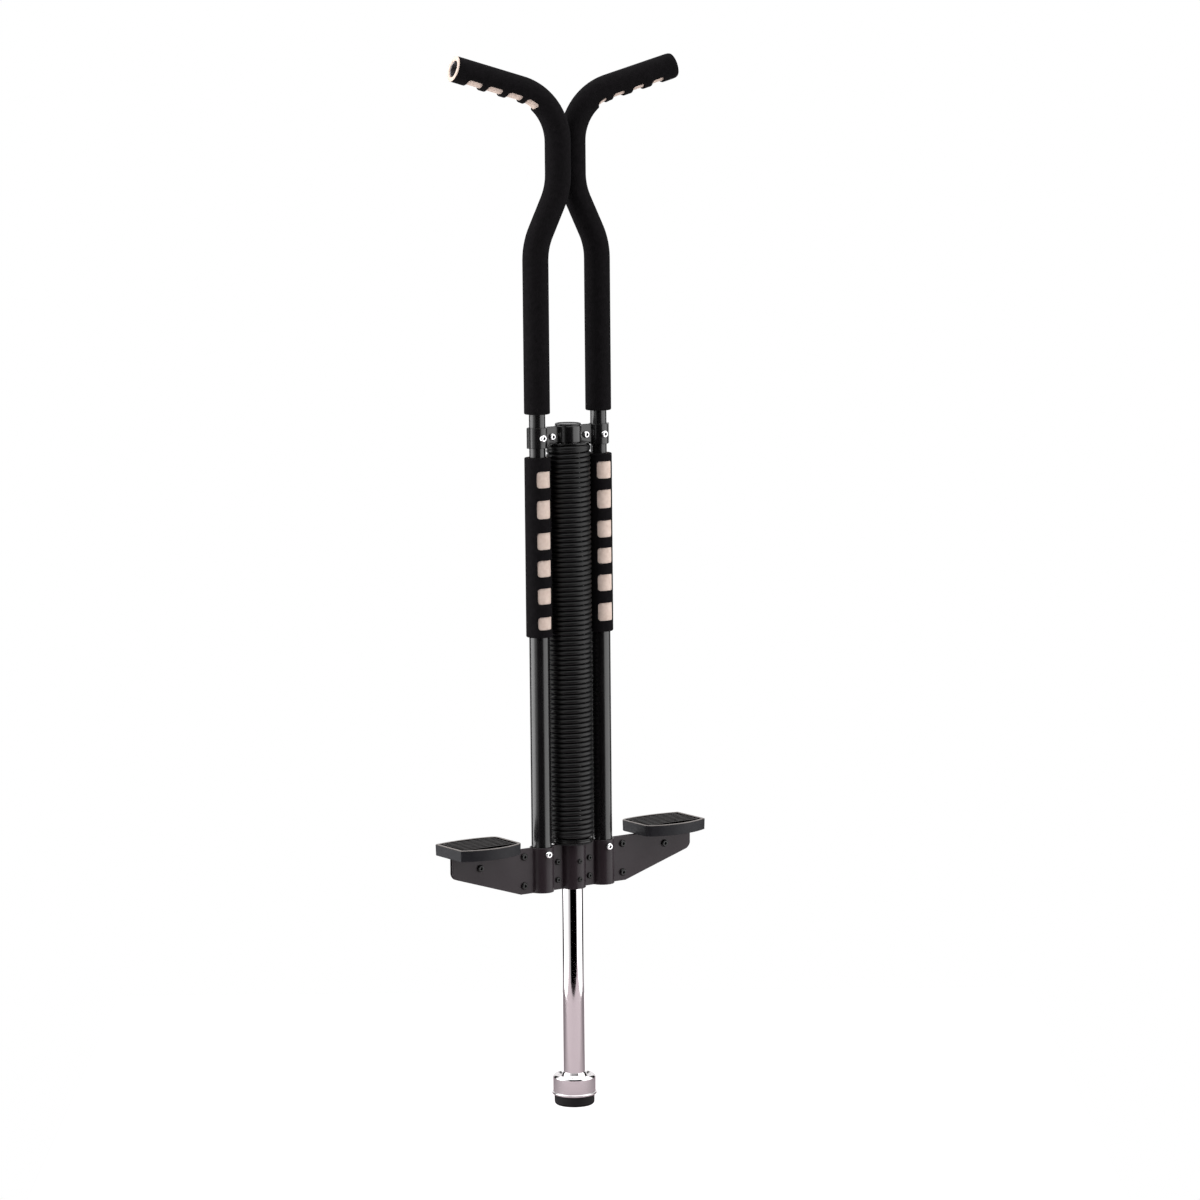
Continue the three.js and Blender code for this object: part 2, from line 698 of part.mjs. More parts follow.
function seatPin() {
  return new THREE.CylinderGeometry(PIN_R, PIN_R, 2 * SEAT_HUB_R - 1, FASTENER_SIDES)
    .rotateZ(Math.PI / 2)
    .translate(0, 0, PIN_Z);
}

function legCap() {
  const rim = LEG_TOP + GAP;
  const bottom = LEG_TOP - CAP_SPIGOT;
  const top = rim + CAP_HEIGHT;
  const spigotR = LEG_R - LEG_WALL - GAP;
  return turned([
    [0, bottom], [spigotR, bottom], [spigotR, rim], [LEG_R, rim],
    [LEG_R, top - CAP_CHAMFER], [LEG_R - CAP_CHAMFER, top], [0, top],
  ], LEG_SIDES);
}

// A bell that steps out from the leg into a rounded shoulder, then a straight skirt with a bead.
function footCup() {
  const bore = LEG_R + GAP;
  const beadR = CUP_R + CUP_BEAD;
  return turned([
    [bore, CUP_FLOOR], [CUP_CAVITY_R, CUP_FLOOR], [CUP_CAVITY_R, CUP_BOTTOM], [beadR, CUP_BOTTOM],
    [beadR, CUP_BEAD_TOP], [CUP_R, CUP_BEAD_TOP + 0.6],
    ...CUP_SHOULDER.map(([inwards, below]) => [CUP_R - inwards, CUP_CREST - below]),
    [bore + CUP_NECK_FLARE, CUP_CREST + 0.1], [bore + CUP_NECK_WALL, CUP_NECK_TOP], [bore, CUP_NECK_TOP],
    [bore, CUP_FLOOR],
  ], LEG_SIDES);
}

function rubberTip() {
  const spigotR = CUP_CAVITY_R - GAP;
  const rimTop = CUP_BOTTOM - GAP;
  return turned([
    [0, 0], ...TIP_EDGE.map(([inwards, above]) => [TIP_R - inwards, above]),
    [TIP_R, rimTop], [spigotR, rimTop], [spigotR, TIP_SPIGOT_TOP], [0, TIP_SPIGOT_TOP],
  ], LEG_SIDES);
}

// A solid steel disc inside the cup, between the leg's end and the rubber.
function endDisc() {
  const r = CUP_CAVITY_R - GAP;
  const bottom = TIP_SPIGOT_TOP + GAP;
  const top = LEG_BOTTOM - GAP;
  return turned([[0, bottom], [r, bottom], [r, top], [0, top]], LEG_SIDES);
}

function springStations() {
  const stepsPerCoil = 6;
  const steps = COILS * stepsPerCoil;
  const low = SPRING_BOTTOM + WIRE_R;
  const rise = SPRING_TOP - SPRING_BOTTOM - 2 * WIRE_R;
  const stations = [];
  for (let i = 0; i <= steps; i += 1) {
    const angle = (2 * Math.PI * i) / stepsPerCoil;
    const outward = new THREE.Vector3(Math.cos(angle), Math.sin(angle), 0);
    const point = outward.clone().multiplyScalar(SPRING_R);
    point.z = low + (rise * i) / steps;
    stations.push({ point, normal: outward, binormal: new THREE.Vector3(0, 0, -1) });
  }
  return stations;
}

function coilSpring() {
  return sweep(new THREE.Shape(polygonPath(WIRE_R, 4)), springStations());
}

function flatWasher(outer, inner, bottom, top) {
  return turnedTube(outer, inner, bottom, top, LEG_SIDES);
}

// ---- Assembly ----

const HALF_TURN = Math.PI;

// Makes the left piece and the right one, which is turned half a turn about the Z axis. The right
// one is the same piece unless it is given on its own.
function pair(name, material, leftGeometry, rightGeometry = leftGeometry) {
  const left = piece(`${name}_left`, leftGeometry, material);
  const right = piece(`${name}_right`, rightGeometry, material);
  right.rotation.z = HALF_TURN;
  return [left, right];
}

function handles() {
  const group = new THREE.Group();
  const liner = upperLiner();
  group.add(...pair('handle_tube', glossBlack, handleTube()));
  group.add(...pair(
    'upper_foam',
    blackFoam,
    upperFoam(END_RING + GAP, GRIP_WINDOW_LENGTH.left),
    upperFoam(0, GRIP_WINDOW_LENGTH.right),
  ));
  group.add(...pair('upper_liner', beigeFoam, join([liner, endRing()]), liner));
  return group;
}

function sideTubes() {
  const group = new THREE.Group();
  group.add(...pair('lower_tube', glossBlack, lowerTube()));
  group.add(...pair('lower_liner', beigeFoam, lowerLiner()));
  group.add(piece('lower_foam_left', lowerFoam(LOWER_WINDOWS.left, -TUBE_X), blackFoam));
  group.add(piece('lower_foam_right', lowerFoam(LOWER_WINDOWS.right, TUBE_X), blackFoam));
  return group;
}

function screwAndNut(group, label, x, z, reach) {
  group.add(piece(`${label}_screw`, socketScrew(x, z, reach), brightSteel));
  group.add(piece(`${label}_nut`, hexNut(x, z, reach), brightSteel));
}

function collar() {
  const group = new THREE.Group();
  const sheet = collarSheet();
  const back = piece('collar_back', sheet, glossBlack);
  back.rotation.z = HALF_TURN;
  group.add(piece('collar_front', sheet, glossBlack), back);
  group.add(piece('top_bush', topBush(), blackNylon));
  const tubeReach = HANDLE_R + WRAP_CLEARANCE + COLLAR.sheet;
  const flatReach = COLLAR.halfGap + COLLAR.sheet;
  screwAndNut(group, 'collar_tube_left', -TUBE_X, COLLAR_SCREW_Z, tubeReach);
  screwAndNut(group, 'collar_flat_left', -COLLAR_FLAT_SCREW_X, COLLAR_SCREW_Z, flatReach);
  screwAndNut(group, 'collar_flat_right', COLLAR_FLAT_SCREW_X, COLLAR_SCREW_Z, flatReach);
  screwAndNut(group, 'collar_tube_right', TUBE_X, COLLAR_SCREW_Z, tubeReach);
  return group;
}

function bracket() {
  const group = new THREE.Group();
  const sheet = bracketSheet();
  const back = piece('bracket_back', sheet, satinBlack);
  back.rotation.z = HALF_TURN;
  group.add(piece('bracket_front', sheet, satinBlack), back);
  group.add(piece('bottom_bush', bottomBush(), blackNylon));
  const flatReach = BRACKET.halfGap + BRACKET.sheet;
  armRivetPlaces().forEach(([x, z], i) => {
    group.add(piece(`arm_rivet_${i + 1}`, rivet(RIVET, x, z, flatReach), glossBlack));
  });
  flatRivetPlaces().forEach(([x, z], i) => {
    group.add(piece(`flat_rivet_${i + 1}`, rivet(SMALL_RIVET, x, z, flatReach), glossBlack));
  });
  BRACKET_FLAT_Z.forEach((z, i) => {
    group.add(piece(`bush_pin_${i + 1}`, bushPin(z), glossBlack));
  });
  const tubeReach = LOWER_TUBE_R + WRAP_CLEARANCE + BRACKET.sheet;
  screwAndNut(group, 'bracket_tube_left', -TUBE_X, TUBE_SCREW_Z, tubeReach);
  screwAndNut(group, 'bracket_tube_right', TUBE_X, TUBE_SCREW_Z, tubeReach);
  return group;
}

function pedals() {
  const group = new THREE.Group();
  for (const [name, side] of [['left', -1], ['right', 1]]) {
    group.add(piece(`pedal_${name}`, pedalBody(side), pedalPlastic));
    group.add(piece(`pedal_tread_${name}`, pedalTread(side), treadRubber));
  }
  return group;
}

function legAndSpring() {
  const group = new THREE.Group();
  const hubClear = SEAT_HUB_R + GAP + 0.2;
  group.add(piece('leg_tube', legTube(), chrome));
  group.add(piece('leg_cap', legCap(), blackNylon));
  group.add(piece('foot_cup', footCup(), chrome));
  group.add(piece('end_disc', endDisc(), brightSteel));
  group.add(piece('rubber_tip', rubberTip(), blackRubber));
  group.add(piece('spring_seat', springSeat(), springSteel));
  group.add(piece('seat_pin', seatPin(), brightSteel));
  const washerTop = SPRING_BOTTOM - GAP;
  const thrustWasher = flatWasher(FLANGE_R, hubClear, THRUST_BOTTOM, washerTop);
  group.add(piece('thrust_washer', thrustWasher, springSteel));
  group.add(piece('coil_spring', coilSpring(), springSteel));
  const topBottom = SPRING_TOP + GAP;
  group.add(piece(
    'spring_top_washer',
    flatWasher(FLANGE_R, BUSH_BORE_R, topBottom, COLLAR_MIDDLE_BOTTOM - GAP),
    springSteel,
  ));
  group.add(piece(
    'rebound_washer',
    flatWasher(FLANGE_R, BUSH_BORE_R, BRACKET.top + GAP, SEAT_Z - GAP),
    blackRubber,
  ));
  return group;
}

const pogoStick = new THREE.Group();
pogoStick.add(handles(), sideTubes(), collar(), bracket(), pedals(), legAndSpring());

export default pogoStick;
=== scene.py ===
"""The looks of a children's pogo stick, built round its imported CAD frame.

Shapes are worked out in millimetres and turned into metres when a piece is made. Each builder fills a
Body with lofted loops of points, and add_piece() turns it into an object that rides on a CAD body.
"""

import json
import math

import bmesh
import bpy
from mathutils import Matrix, Vector


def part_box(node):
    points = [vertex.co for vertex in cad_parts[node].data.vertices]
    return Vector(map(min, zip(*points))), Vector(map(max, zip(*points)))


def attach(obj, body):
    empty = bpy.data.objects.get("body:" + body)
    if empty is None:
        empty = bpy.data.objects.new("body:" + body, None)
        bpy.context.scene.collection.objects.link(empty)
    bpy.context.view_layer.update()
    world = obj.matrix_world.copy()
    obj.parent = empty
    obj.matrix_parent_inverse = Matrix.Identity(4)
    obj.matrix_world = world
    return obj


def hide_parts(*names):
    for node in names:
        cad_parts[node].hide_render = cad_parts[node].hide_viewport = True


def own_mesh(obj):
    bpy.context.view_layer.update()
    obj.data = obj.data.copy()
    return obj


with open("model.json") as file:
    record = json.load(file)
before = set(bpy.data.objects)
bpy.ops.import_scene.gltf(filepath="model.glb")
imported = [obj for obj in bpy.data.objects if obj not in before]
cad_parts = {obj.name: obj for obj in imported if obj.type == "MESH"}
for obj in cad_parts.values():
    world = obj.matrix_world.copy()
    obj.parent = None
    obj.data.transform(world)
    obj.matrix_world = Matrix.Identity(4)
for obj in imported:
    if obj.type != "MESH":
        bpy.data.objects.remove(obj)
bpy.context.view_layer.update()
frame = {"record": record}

MM = 0.001
BODY_OF = {
    node: body
    for body, nodes in frame["record"]["behaviour"]["bodies"].items()
    for node in nodes
}

# ---- Sizes read from the frame, in millimetres ----


def low(node):
    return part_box(node)[0] / MM


def high(node):
    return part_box(node)[1] / MM


def heights(node):
    return low(node).z, high(node).z


def middle(node):
    return (low(node) + high(node)) / 2


def half_width(node):
    return (high(node).x - low(node).x) / 2


TUBE_X = middle("lower_tube_right").x
LOWER_TUBE_R = half_width("lower_tube_right")
LEG_R = half_width("leg_tube")
BUSH_R = half_width("bottom_bush")
SPRING_R = half_width("coil_spring")

# ---- Sizes that a box doesn't give, the same as in the CAD source ----

HANDLE_R = 8
HANDLE_WALL = 1.2
LOWER_TUBE_WALL = 1.6
LEG_WALL = 1.5
BUSH_CLEARANCE = 0.3
HANDLE_TWIST = math.radians(11)
NECK_START = 834.3
NECK_INSET = 24.6
NECK_ANGLE = math.radians(24.5)
NECK_BEND_R = 65
NECK_STRAIGHT = 30.7
GRIP_BEND_R = 53.2
GRIP_RISE = math.radians(16.4)
GRIP_STRAIGHT = 72
LINER_OVERHANG = 0.4
END_RING = 1.2

UPPER_FOAM_R = 12.6
UPPER_LINER_R = 10.7
LOWER_LINER_R = 11.6
FOAM_GAP = 0.15
END_ROUND = 1.3
RIGHT_END_ROUND = 4.5
LINER_SHORT = 0.4

GRIP_WINDOWS = 4
GRIP_WINDOW_LENGTH = {"left": 15.5, "right": 12.8}
GRIP_WINDOW_PITCH = 21.6
GRIP_WINDOW_FROM_END = 22.8
GRIP_WINDOW_HALF_ANGLE = math.radians(56)
LOWER_WINDOW_HALF_ANGLE = math.radians(46)
# Each side's windows: how far they are turned towards +X, then each one's middle height and length
LOWER_WINDOWS = {
    "left": (
        math.radians(7),
        [(483.3, 12.5), (509.9, 15.5), (536.8, 16), (563.6, 16.5), (594.3, 18), (623.3, 16)],
    ),
    "right": (
        math.radians(2),
        [(489, 17.7), (517.7, 16.2), (544.3, 15.3), (570.6, 16.5), (599.9, 18), (628.3, 16.8)],
    ),
}
WINDOW_CORNER_R = 3.2

WRAP_CLEARANCE = 0.4
COLLAR_SHEET = 1.3
COLLAR_HALF_GAP = 0.4
COLLAR_UNDERCUT = 4
BRACKET_SHEET = 1.4
BRACKET_HALF_GAP = 0.9
ARM_KINK_X = 62.3
ARM_END_BOTTOM = 242.3
ARM_CORNER_R = 5
FOLD_R = 1.2

PEDAL_FRONT_BULGE = 9.4
PEDAL_BACK_BULGE = 4.8
PEDAL_INNER_CORNER_R = 8
PEDAL_OUTER_CORNER_R = 1.8
PEDAL_HEIGHT = 11
PEDAL_RIM = 3
PEDAL_RIM_HEIGHT = 2
PEDAL_PLATE = 3
PEDAL_SKIRT = 2.6
TREAD_RIBS = 7
TREAD_RIB_PITCH = 6
WEB_INNER = 80
WEB_OUTER = 136
WEB_RISE = 14
PEDAL_RIB_Y = 12
PEDAL_RIB_HALF = 0.8

CUP_CAVITY_R = 17.3
CUP_FLOOR = 22
CUP_BEAD = 1.1
CUP_CREST = 30.1

SEAT_HUB_R = 13
SEAT_FLANGE = 2
COILS = 81
WIRE_R = 2.35

TUBE_SIDES = 64
LEG_SIDES = 96

# ---- Profiles and loops ----


def round_corners(corners, closed=False, steps=4):
    """Turns (x, y, radius) corners into points, with an arc at each corner that has a radius."""
    points = []
    count = len(corners)
    for i, (x, y, radius) in enumerate(corners):
        here = Vector((x, y))
        is_end = not closed and i in (0, count - 1)
        if radius == 0 or is_end:
            points.append(here)
            continue
        before = Vector(corners[i - 1][:2]) - here
        after = Vector(corners[(i + 1) % count][:2]) - here
        before.normalize()
        after.normalize()
        half = before.angle(after) / 2
        centre = here + (before + after).normalized() * radius / math.sin(half)
        start = here + before * radius / math.tan(half) - centre
        end = here + after * radius / math.tan(half) - centre
        sweep = start.angle_signed(end)
        for k in range(steps + 1):
            points.append(centre + Matrix.Rotation(-sweep * k / steps, 2) @ start)
    return points


def ring(radius, z, sides, centre=(0, 0)):
    """A level circle of points."""
    x, y = centre
    angles = [math.tau * i / sides for i in range(sides)]
    return [Vector((x + radius * math.cos(a), y + radius * math.sin(a), z)) for a in angles]


class Body:
    """Points and faces that grow by lofting."""

    def __init__(self):
        self.points = []
        self.faces = []
        self.slots = []

    def add_face(self, face, slot=0):
        self.faces.append(face)
        self.slots.append(slot)

    def loft(self, loops, closed=False, slot=0):
        """Joins each loop to the next. A closed loft also joins the last to the first."""
        first = len(self.points)
        around = len(loops[0])
        for loop in loops:
            self.points.extend(loop)
        spans = len(loops) if closed else len(loops) - 1
        for i in range(spans):
            a = first + i * around
            b = first + (i + 1) % len(loops) * around
            for j in range(around):
                k = (j + 1) % around
                self.add_face((a + j, a + k, b + k, b + j), slot)
        if not closed:
            last = first + (len(loops) - 1) * around
            self.add_face(tuple(range(first, first + around)), slot)
            self.add_face(tuple(range(last, last + around)), slot)

    def turn(self, corners, sides=TUBE_SIDES, closed=False, centre=(0, 0), steps=4):
        """Lofts a profile of (radius, z, corner radius) round a vertical axis."""
        profile = round_corners(corners, closed, steps)
        loops = [ring(p.x, p.y, sides, centre) for p in profile]
        self.loft(loops, closed=closed)

    def add(self, other):
        """Takes in another body's points and faces."""
        first = len(self.points)
        self.points += other.points
        for face, slot in zip(other.faces, other.slots):
            self.add_face(tuple(first + i for i in face), slot)

    def move(self, matrix):
        self.points = [matrix @ p for p in self.points]


def level_flats(piece):
    """Weights the shading by face area, so that a big face next to a rounded edge stays even."""
    weights = piece.modifiers.new("weights", "WEIGHTED_NORMAL")
    weights.keep_sharp = True
    weights.weight = 100
    evaluated = piece.evaluated_get(bpy.context.evaluated_depsgraph_get())
    even_mesh = bpy.data.meshes.new_from_object(evaluated)
    piece.modifiers.clear()
    piece.data = even_mesh


def add_piece(node, body, *materials, smooth_to=math.radians(38)):
    """Makes the object that stands for a CAD node."""
    mesh = bpy.data.meshes.new(node + "_look")
    mesh.from_pydata([p * MM for p in body.points], [], body.faces)
    for material in materials:
        mesh.materials.append(material)
    mesh.polygons.foreach_set("material_index", body.slots)
    shape = bmesh.new()
    shape.from_mesh(mesh)
    bmesh.ops.recalc_face_normals(shape, faces=shape.faces)
    shape.to_mesh(mesh)
    shape.free()
    mesh.polygons.foreach_set("use_smooth", [True] * len(mesh.polygons))
    mesh.set_sharp_from_angle(angle=smooth_to)
    piece = bpy.data.objects.new(node + "_look", mesh)
    bpy.context.scene.collection.objects.link(piece)
    level_flats(piece)
    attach(piece, BODY_OF[node])
    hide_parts(node)
    return piece


def turned_piece(node, corners, material, smooth_to=38, **turning):
    """Turns a profile round a vertical axis and makes it the object that stands for a CAD node."""
    body = Body()
    body.turn(corners, **turning)
    add_piece(node, body, material, smooth_to=math.radians(smooth_to))


# ---- Materials ----


def set_inputs(node, values):
    for name, value in values.items():
        node.inputs[name].default_value = value


def add_node(tree, kind, values=None, links=None, **settings):
    """A shader node with its settings, its input values and the sockets that feed it."""
    node = tree.nodes.new("ShaderNode" + kind)
    for name, value in settings.items():
        setattr(node, name, value)
    set_inputs(node, values or {})
    for name, socket in (links or {}).items():
        tree.links.new(socket, node.inputs[name])
    return node


def new_material(name, color, roughness, metallic=0.0, specular=0.5):
    """A node material with its principled shader, its node tree and its object-space coordinates."""
    material = bpy.data.materials.new(name)
    material.use_nodes = True
    tree = material.node_tree
    shader = tree.nodes["Principled BSDF"]
    set_inputs(shader, {
        "Base Color": (*color, 1), "Roughness": roughness, "Metallic": metallic,
        "Specular IOR Level": specular,
    })
    return material, shader, tree, add_node(tree, "TexCoord").outputs["Object"]


def noise(tree, place, scale, detail=4.0):
    values = {"Scale": scale, "Detail": detail, "Roughness": 0.6}
    return add_node(tree, "TexNoise", values, {"Vector": place}).outputs["Fac"]


def stretched(tree, place, scale):
    return add_node(tree, "Mapping", {"Scale": scale}, {"Vector": place}).outputs["Vector"]


def remap(tree, value, low_out, high_out, low_in=0.3, high_in=0.7):
    values = {"From Min": low_in, "From Max": high_in, "To Min": low_out, "To Max": high_out}
    return add_node(tree, "MapRange", values, {"Value": value}).outputs["Result"]


def add_bump(tree, shader, height, distance, strength, under=None):
    links = {"Height": height}
    if under is not None:
        links["Normal"] = under
    node = add_node(tree, "Bump", {"Distance": distance, "Strength": strength}, links)
    tree.links.new(node.outputs["Normal"], shader.inputs["Normal"])
    return node.outputs["Normal"]


def mix_colors(tree, shader, fac, dark, light):
    colors = {"A": (*dark, 1), "B": (*light, 1)}
    node = add_node(tree, "Mix", colors, {"Factor": fac}, data_type="RGBA")
    tree.links.new(node.outputs["Result"], shader.inputs["Base Color"])


def foam(name, dark, light, pores):
    """Closed-cell foam: fine pores over a soft, slightly uneven skin, with a blotchy tone."""
    material, shader, tree, place = new_material(name, dark, 0.95, specular=0.06)
    cells = add_node(tree, "TexVoronoi", {"Scale": 1500}, {"Vector": place})
    skin = add_bump(tree, shader, noise(tree, place, 160), 0.0004, 0.5)
    add_bump(tree, shader, cells.outputs["Distance"], 0.0003, pores, skin)
    blotches = remap(tree, noise(tree, place, 240, 6), 0, 1)
    mix_colors(tree, shader, blotches, dark, light)
    return material


def paint(name, color, roughness, coat, specular=0.5):
    """Black stove paint: a clear glossy skin with a faint orange peel and rubbed patches."""
    material, shader, tree, place = new_material(name, color, roughness, specular=specular)
    shader.inputs["Coat Weight"].default_value = coat
    shader.inputs["Coat Roughness"].default_value = 0.08
    rubbed = remap(tree, noise(tree, place, 30, 5), roughness * 0.85, roughness * 1.3)
    tree.links.new(rubbed, shader.inputs["Roughness"])
    add_bump(tree, shader, noise(tree, place, 420, 2), 0.00005, 0.35)
    return material


def plated(name, color, roughness, brush):
    """Chrome or zinc plate with fine lines round the piece."""
    material, shader, tree, place = new_material(name, color, roughness, metallic=1.0)
    lines = noise(tree, stretched(tree, place, (20, 20, 2600)), 1, 3)
    tree.links.new(remap(tree, lines, roughness * 0.6, roughness * 1.8), shader.inputs["Roughness"])
    add_bump(tree, shader, lines, 0.00002, brush)
    return material


def moulded(name, dark, light, roughness, grain, specular=0.5):
    """Moulded plastic or rubber with a fine grain and dusty high spots."""
    material, shader, tree, place = new_material(name, dark, roughness, specular=specular)
    fine = noise(tree, place, 1400, 3)
    add_bump(tree, shader, fine, 0.00012, grain)
    mix_colors(tree, shader, remap(tree, noise(tree, place, 90, 6), 0, 1), dark, light)
    tree.links.new(remap(tree, fine, roughness * 0.9, roughness * 1.15), shader.inputs["Roughness"])
    return material


black_foam = foam("black_foam", (0.0045, 0.004, 0.0045), (0.008, 0.007, 0.008), 0.5)
beige_foam = foam("beige_foam", (0.62, 0.49, 0.42), (0.74, 0.61, 0.54), 0.35)
gloss_paint = paint("gloss_black_paint", (0.006, 0.0055, 0.006), 0.24, 0.35)
sheet_paint = paint("satin_black_paint", (0.027, 0.0195, 0.0235), 0.34, 0.04, specular=0.2)
spring_paint = paint("spring_black_paint", (0.003, 0.003, 0.0033), 0.38, 0, specular=0.3)
black_steel = paint("black_steel", (0.004, 0.004, 0.004), 0.25, 0.1, specular=0.3)
chrome = plated("chrome_plate", (0.8, 0.77, 0.78), 0.05, 0.012)
brushed_chrome = plated("brushed_chrome", (0.8, 0.77, 0.78), 0.12, 0.15)
bright_steel = plated("bright_steel", (0.82, 0.82, 0.83), 0.16, 0.2)
bare_steel = plated("bare_steel", (0.3, 0.28, 0.29), 0.4, 0.1)
black_nylon = moulded("black_nylon", (0.01, 0.01, 0.011), (0.016, 0.016, 0.017), 0.35, 0.2)
black_rubber = moulded("black_rubber", (0.008, 0.008, 0.009), (0.013, 0.012, 0.013), 0.7, 0.5, 0.28)
tread_rubber = moulded("tread_rubber", (0.011, 0.009, 0.009), (0.02, 0.016, 0.016), 0.62, 0.6)
pedal_plastic = moulded("pedal_plastic", (0.011, 0.011, 0.0135), (0.016, 0.016, 0.019), 0.5, 0.5, 0.2)
# painted highlight: a lighter grey for the pedal's rim stands in for light caught on its rounded top edge
pedal_rim_painted_highlight = moulded("pedal_rim_painted_highlight", (0.1, 0.085, 0.08), (0.14, 0.12, 0.11), 0.4, 0.3)

# ---- The handle's path ----


class HandlePath:
    """The centre line of the left handle, from straight up to the grip's end.

    It is made of straights and bends in an upright plane, which is turned by the twist so that the
    left neck stands a little in front of the right one. The handles don't cross.
    """

    def __init__(self, bottom):
        neck_rise = 2 * NECK_BEND_R * (1 - math.cos(NECK_ANGLE))
        slope_length = (NECK_INSET - neck_rise) / math.sin(NECK_ANGLE)
        self.bottom = bottom
        self.runs = [
            (NECK_START - bottom, 0),
            (NECK_ANGLE * NECK_BEND_R, 1 / NECK_BEND_R),
            (slope_length, 0),
            (NECK_ANGLE * NECK_BEND_R, -1 / NECK_BEND_R),
            (NECK_STRAIGHT, 0),
            ((math.pi / 2 - GRIP_RISE) * GRIP_BEND_R, -1 / GRIP_BEND_R),
            (GRIP_STRAIGHT, 0),
        ]
        self.length = sum(run for run, _ in self.runs)

    def plane_place(self, s):
        """Way in, height and heading after a distance s."""
        v, z, heading = 0.0, self.bottom, 0.0
        for run, curvature in self.runs:
            step = min(run, s)
            if curvature == 0:
                v += step * math.sin(heading)
                z += step * math.cos(heading)
            else:
                turned = heading + step * curvature
                v += (math.cos(heading) - math.cos(turned)) / curvature
                z += (math.sin(turned) - math.sin(heading)) / curvature
                heading = turned
            s -= step
            if s <= 0:
                break
        return v, z, heading

    def point(self, s, angle, radius):
        """A point at a distance along, an angle round and a radius from the centre line.

        Angle 0 is the inner side of the neck, which becomes the top of the grip.
        """
        v, z, heading = self.plane_place(s)
        inward = Vector((math.cos(HANDLE_TWIST), -math.sin(HANDLE_TWIST), 0))
        up = Vector((0, 0, 1))
        side = up.cross(inward)
        across = inward * math.cos(heading) - up * math.sin(heading)
        centre = Vector((-TUBE_X, 0, 0)) + inward * v + up * z
        return centre + across * radius * math.cos(angle) + side * radius * math.sin(angle)


def straight_point(centre_x, bottom):
    """The same kind of place function for an upright sleeve. Angle 0 is the front, -Y."""

    def point(s, angle, radius):
        x = centre_x + radius * math.sin(angle)
        return Vector((x, -radius * math.cos(angle), bottom + s))

    return point


# ---- Foam sleeves with windows ----


class Window:
    """A rounded rectangle on a sleeve's unrolled surface."""

    def __init__(self, angle, s, half_angle, half_length, radius):
        self.angle = angle
        self.s = s
        self.half_width = half_angle * radius
        self.half_length = half_length
        self.radius = radius

    def distance(self, s, angle):
        """Distance outside the window's edge, negative inside."""
        turn = (angle - self.angle + math.pi) % math.tau - math.pi
        x = abs(turn * self.radius) - self.half_width + WINDOW_CORNER_R
        y = abs(s - self.s) - self.half_length + WINDOW_CORNER_R
        outside = math.hypot(max(x, 0), max(y, 0))
        return outside + min(max(x, y), 0) - WINDOW_CORNER_R


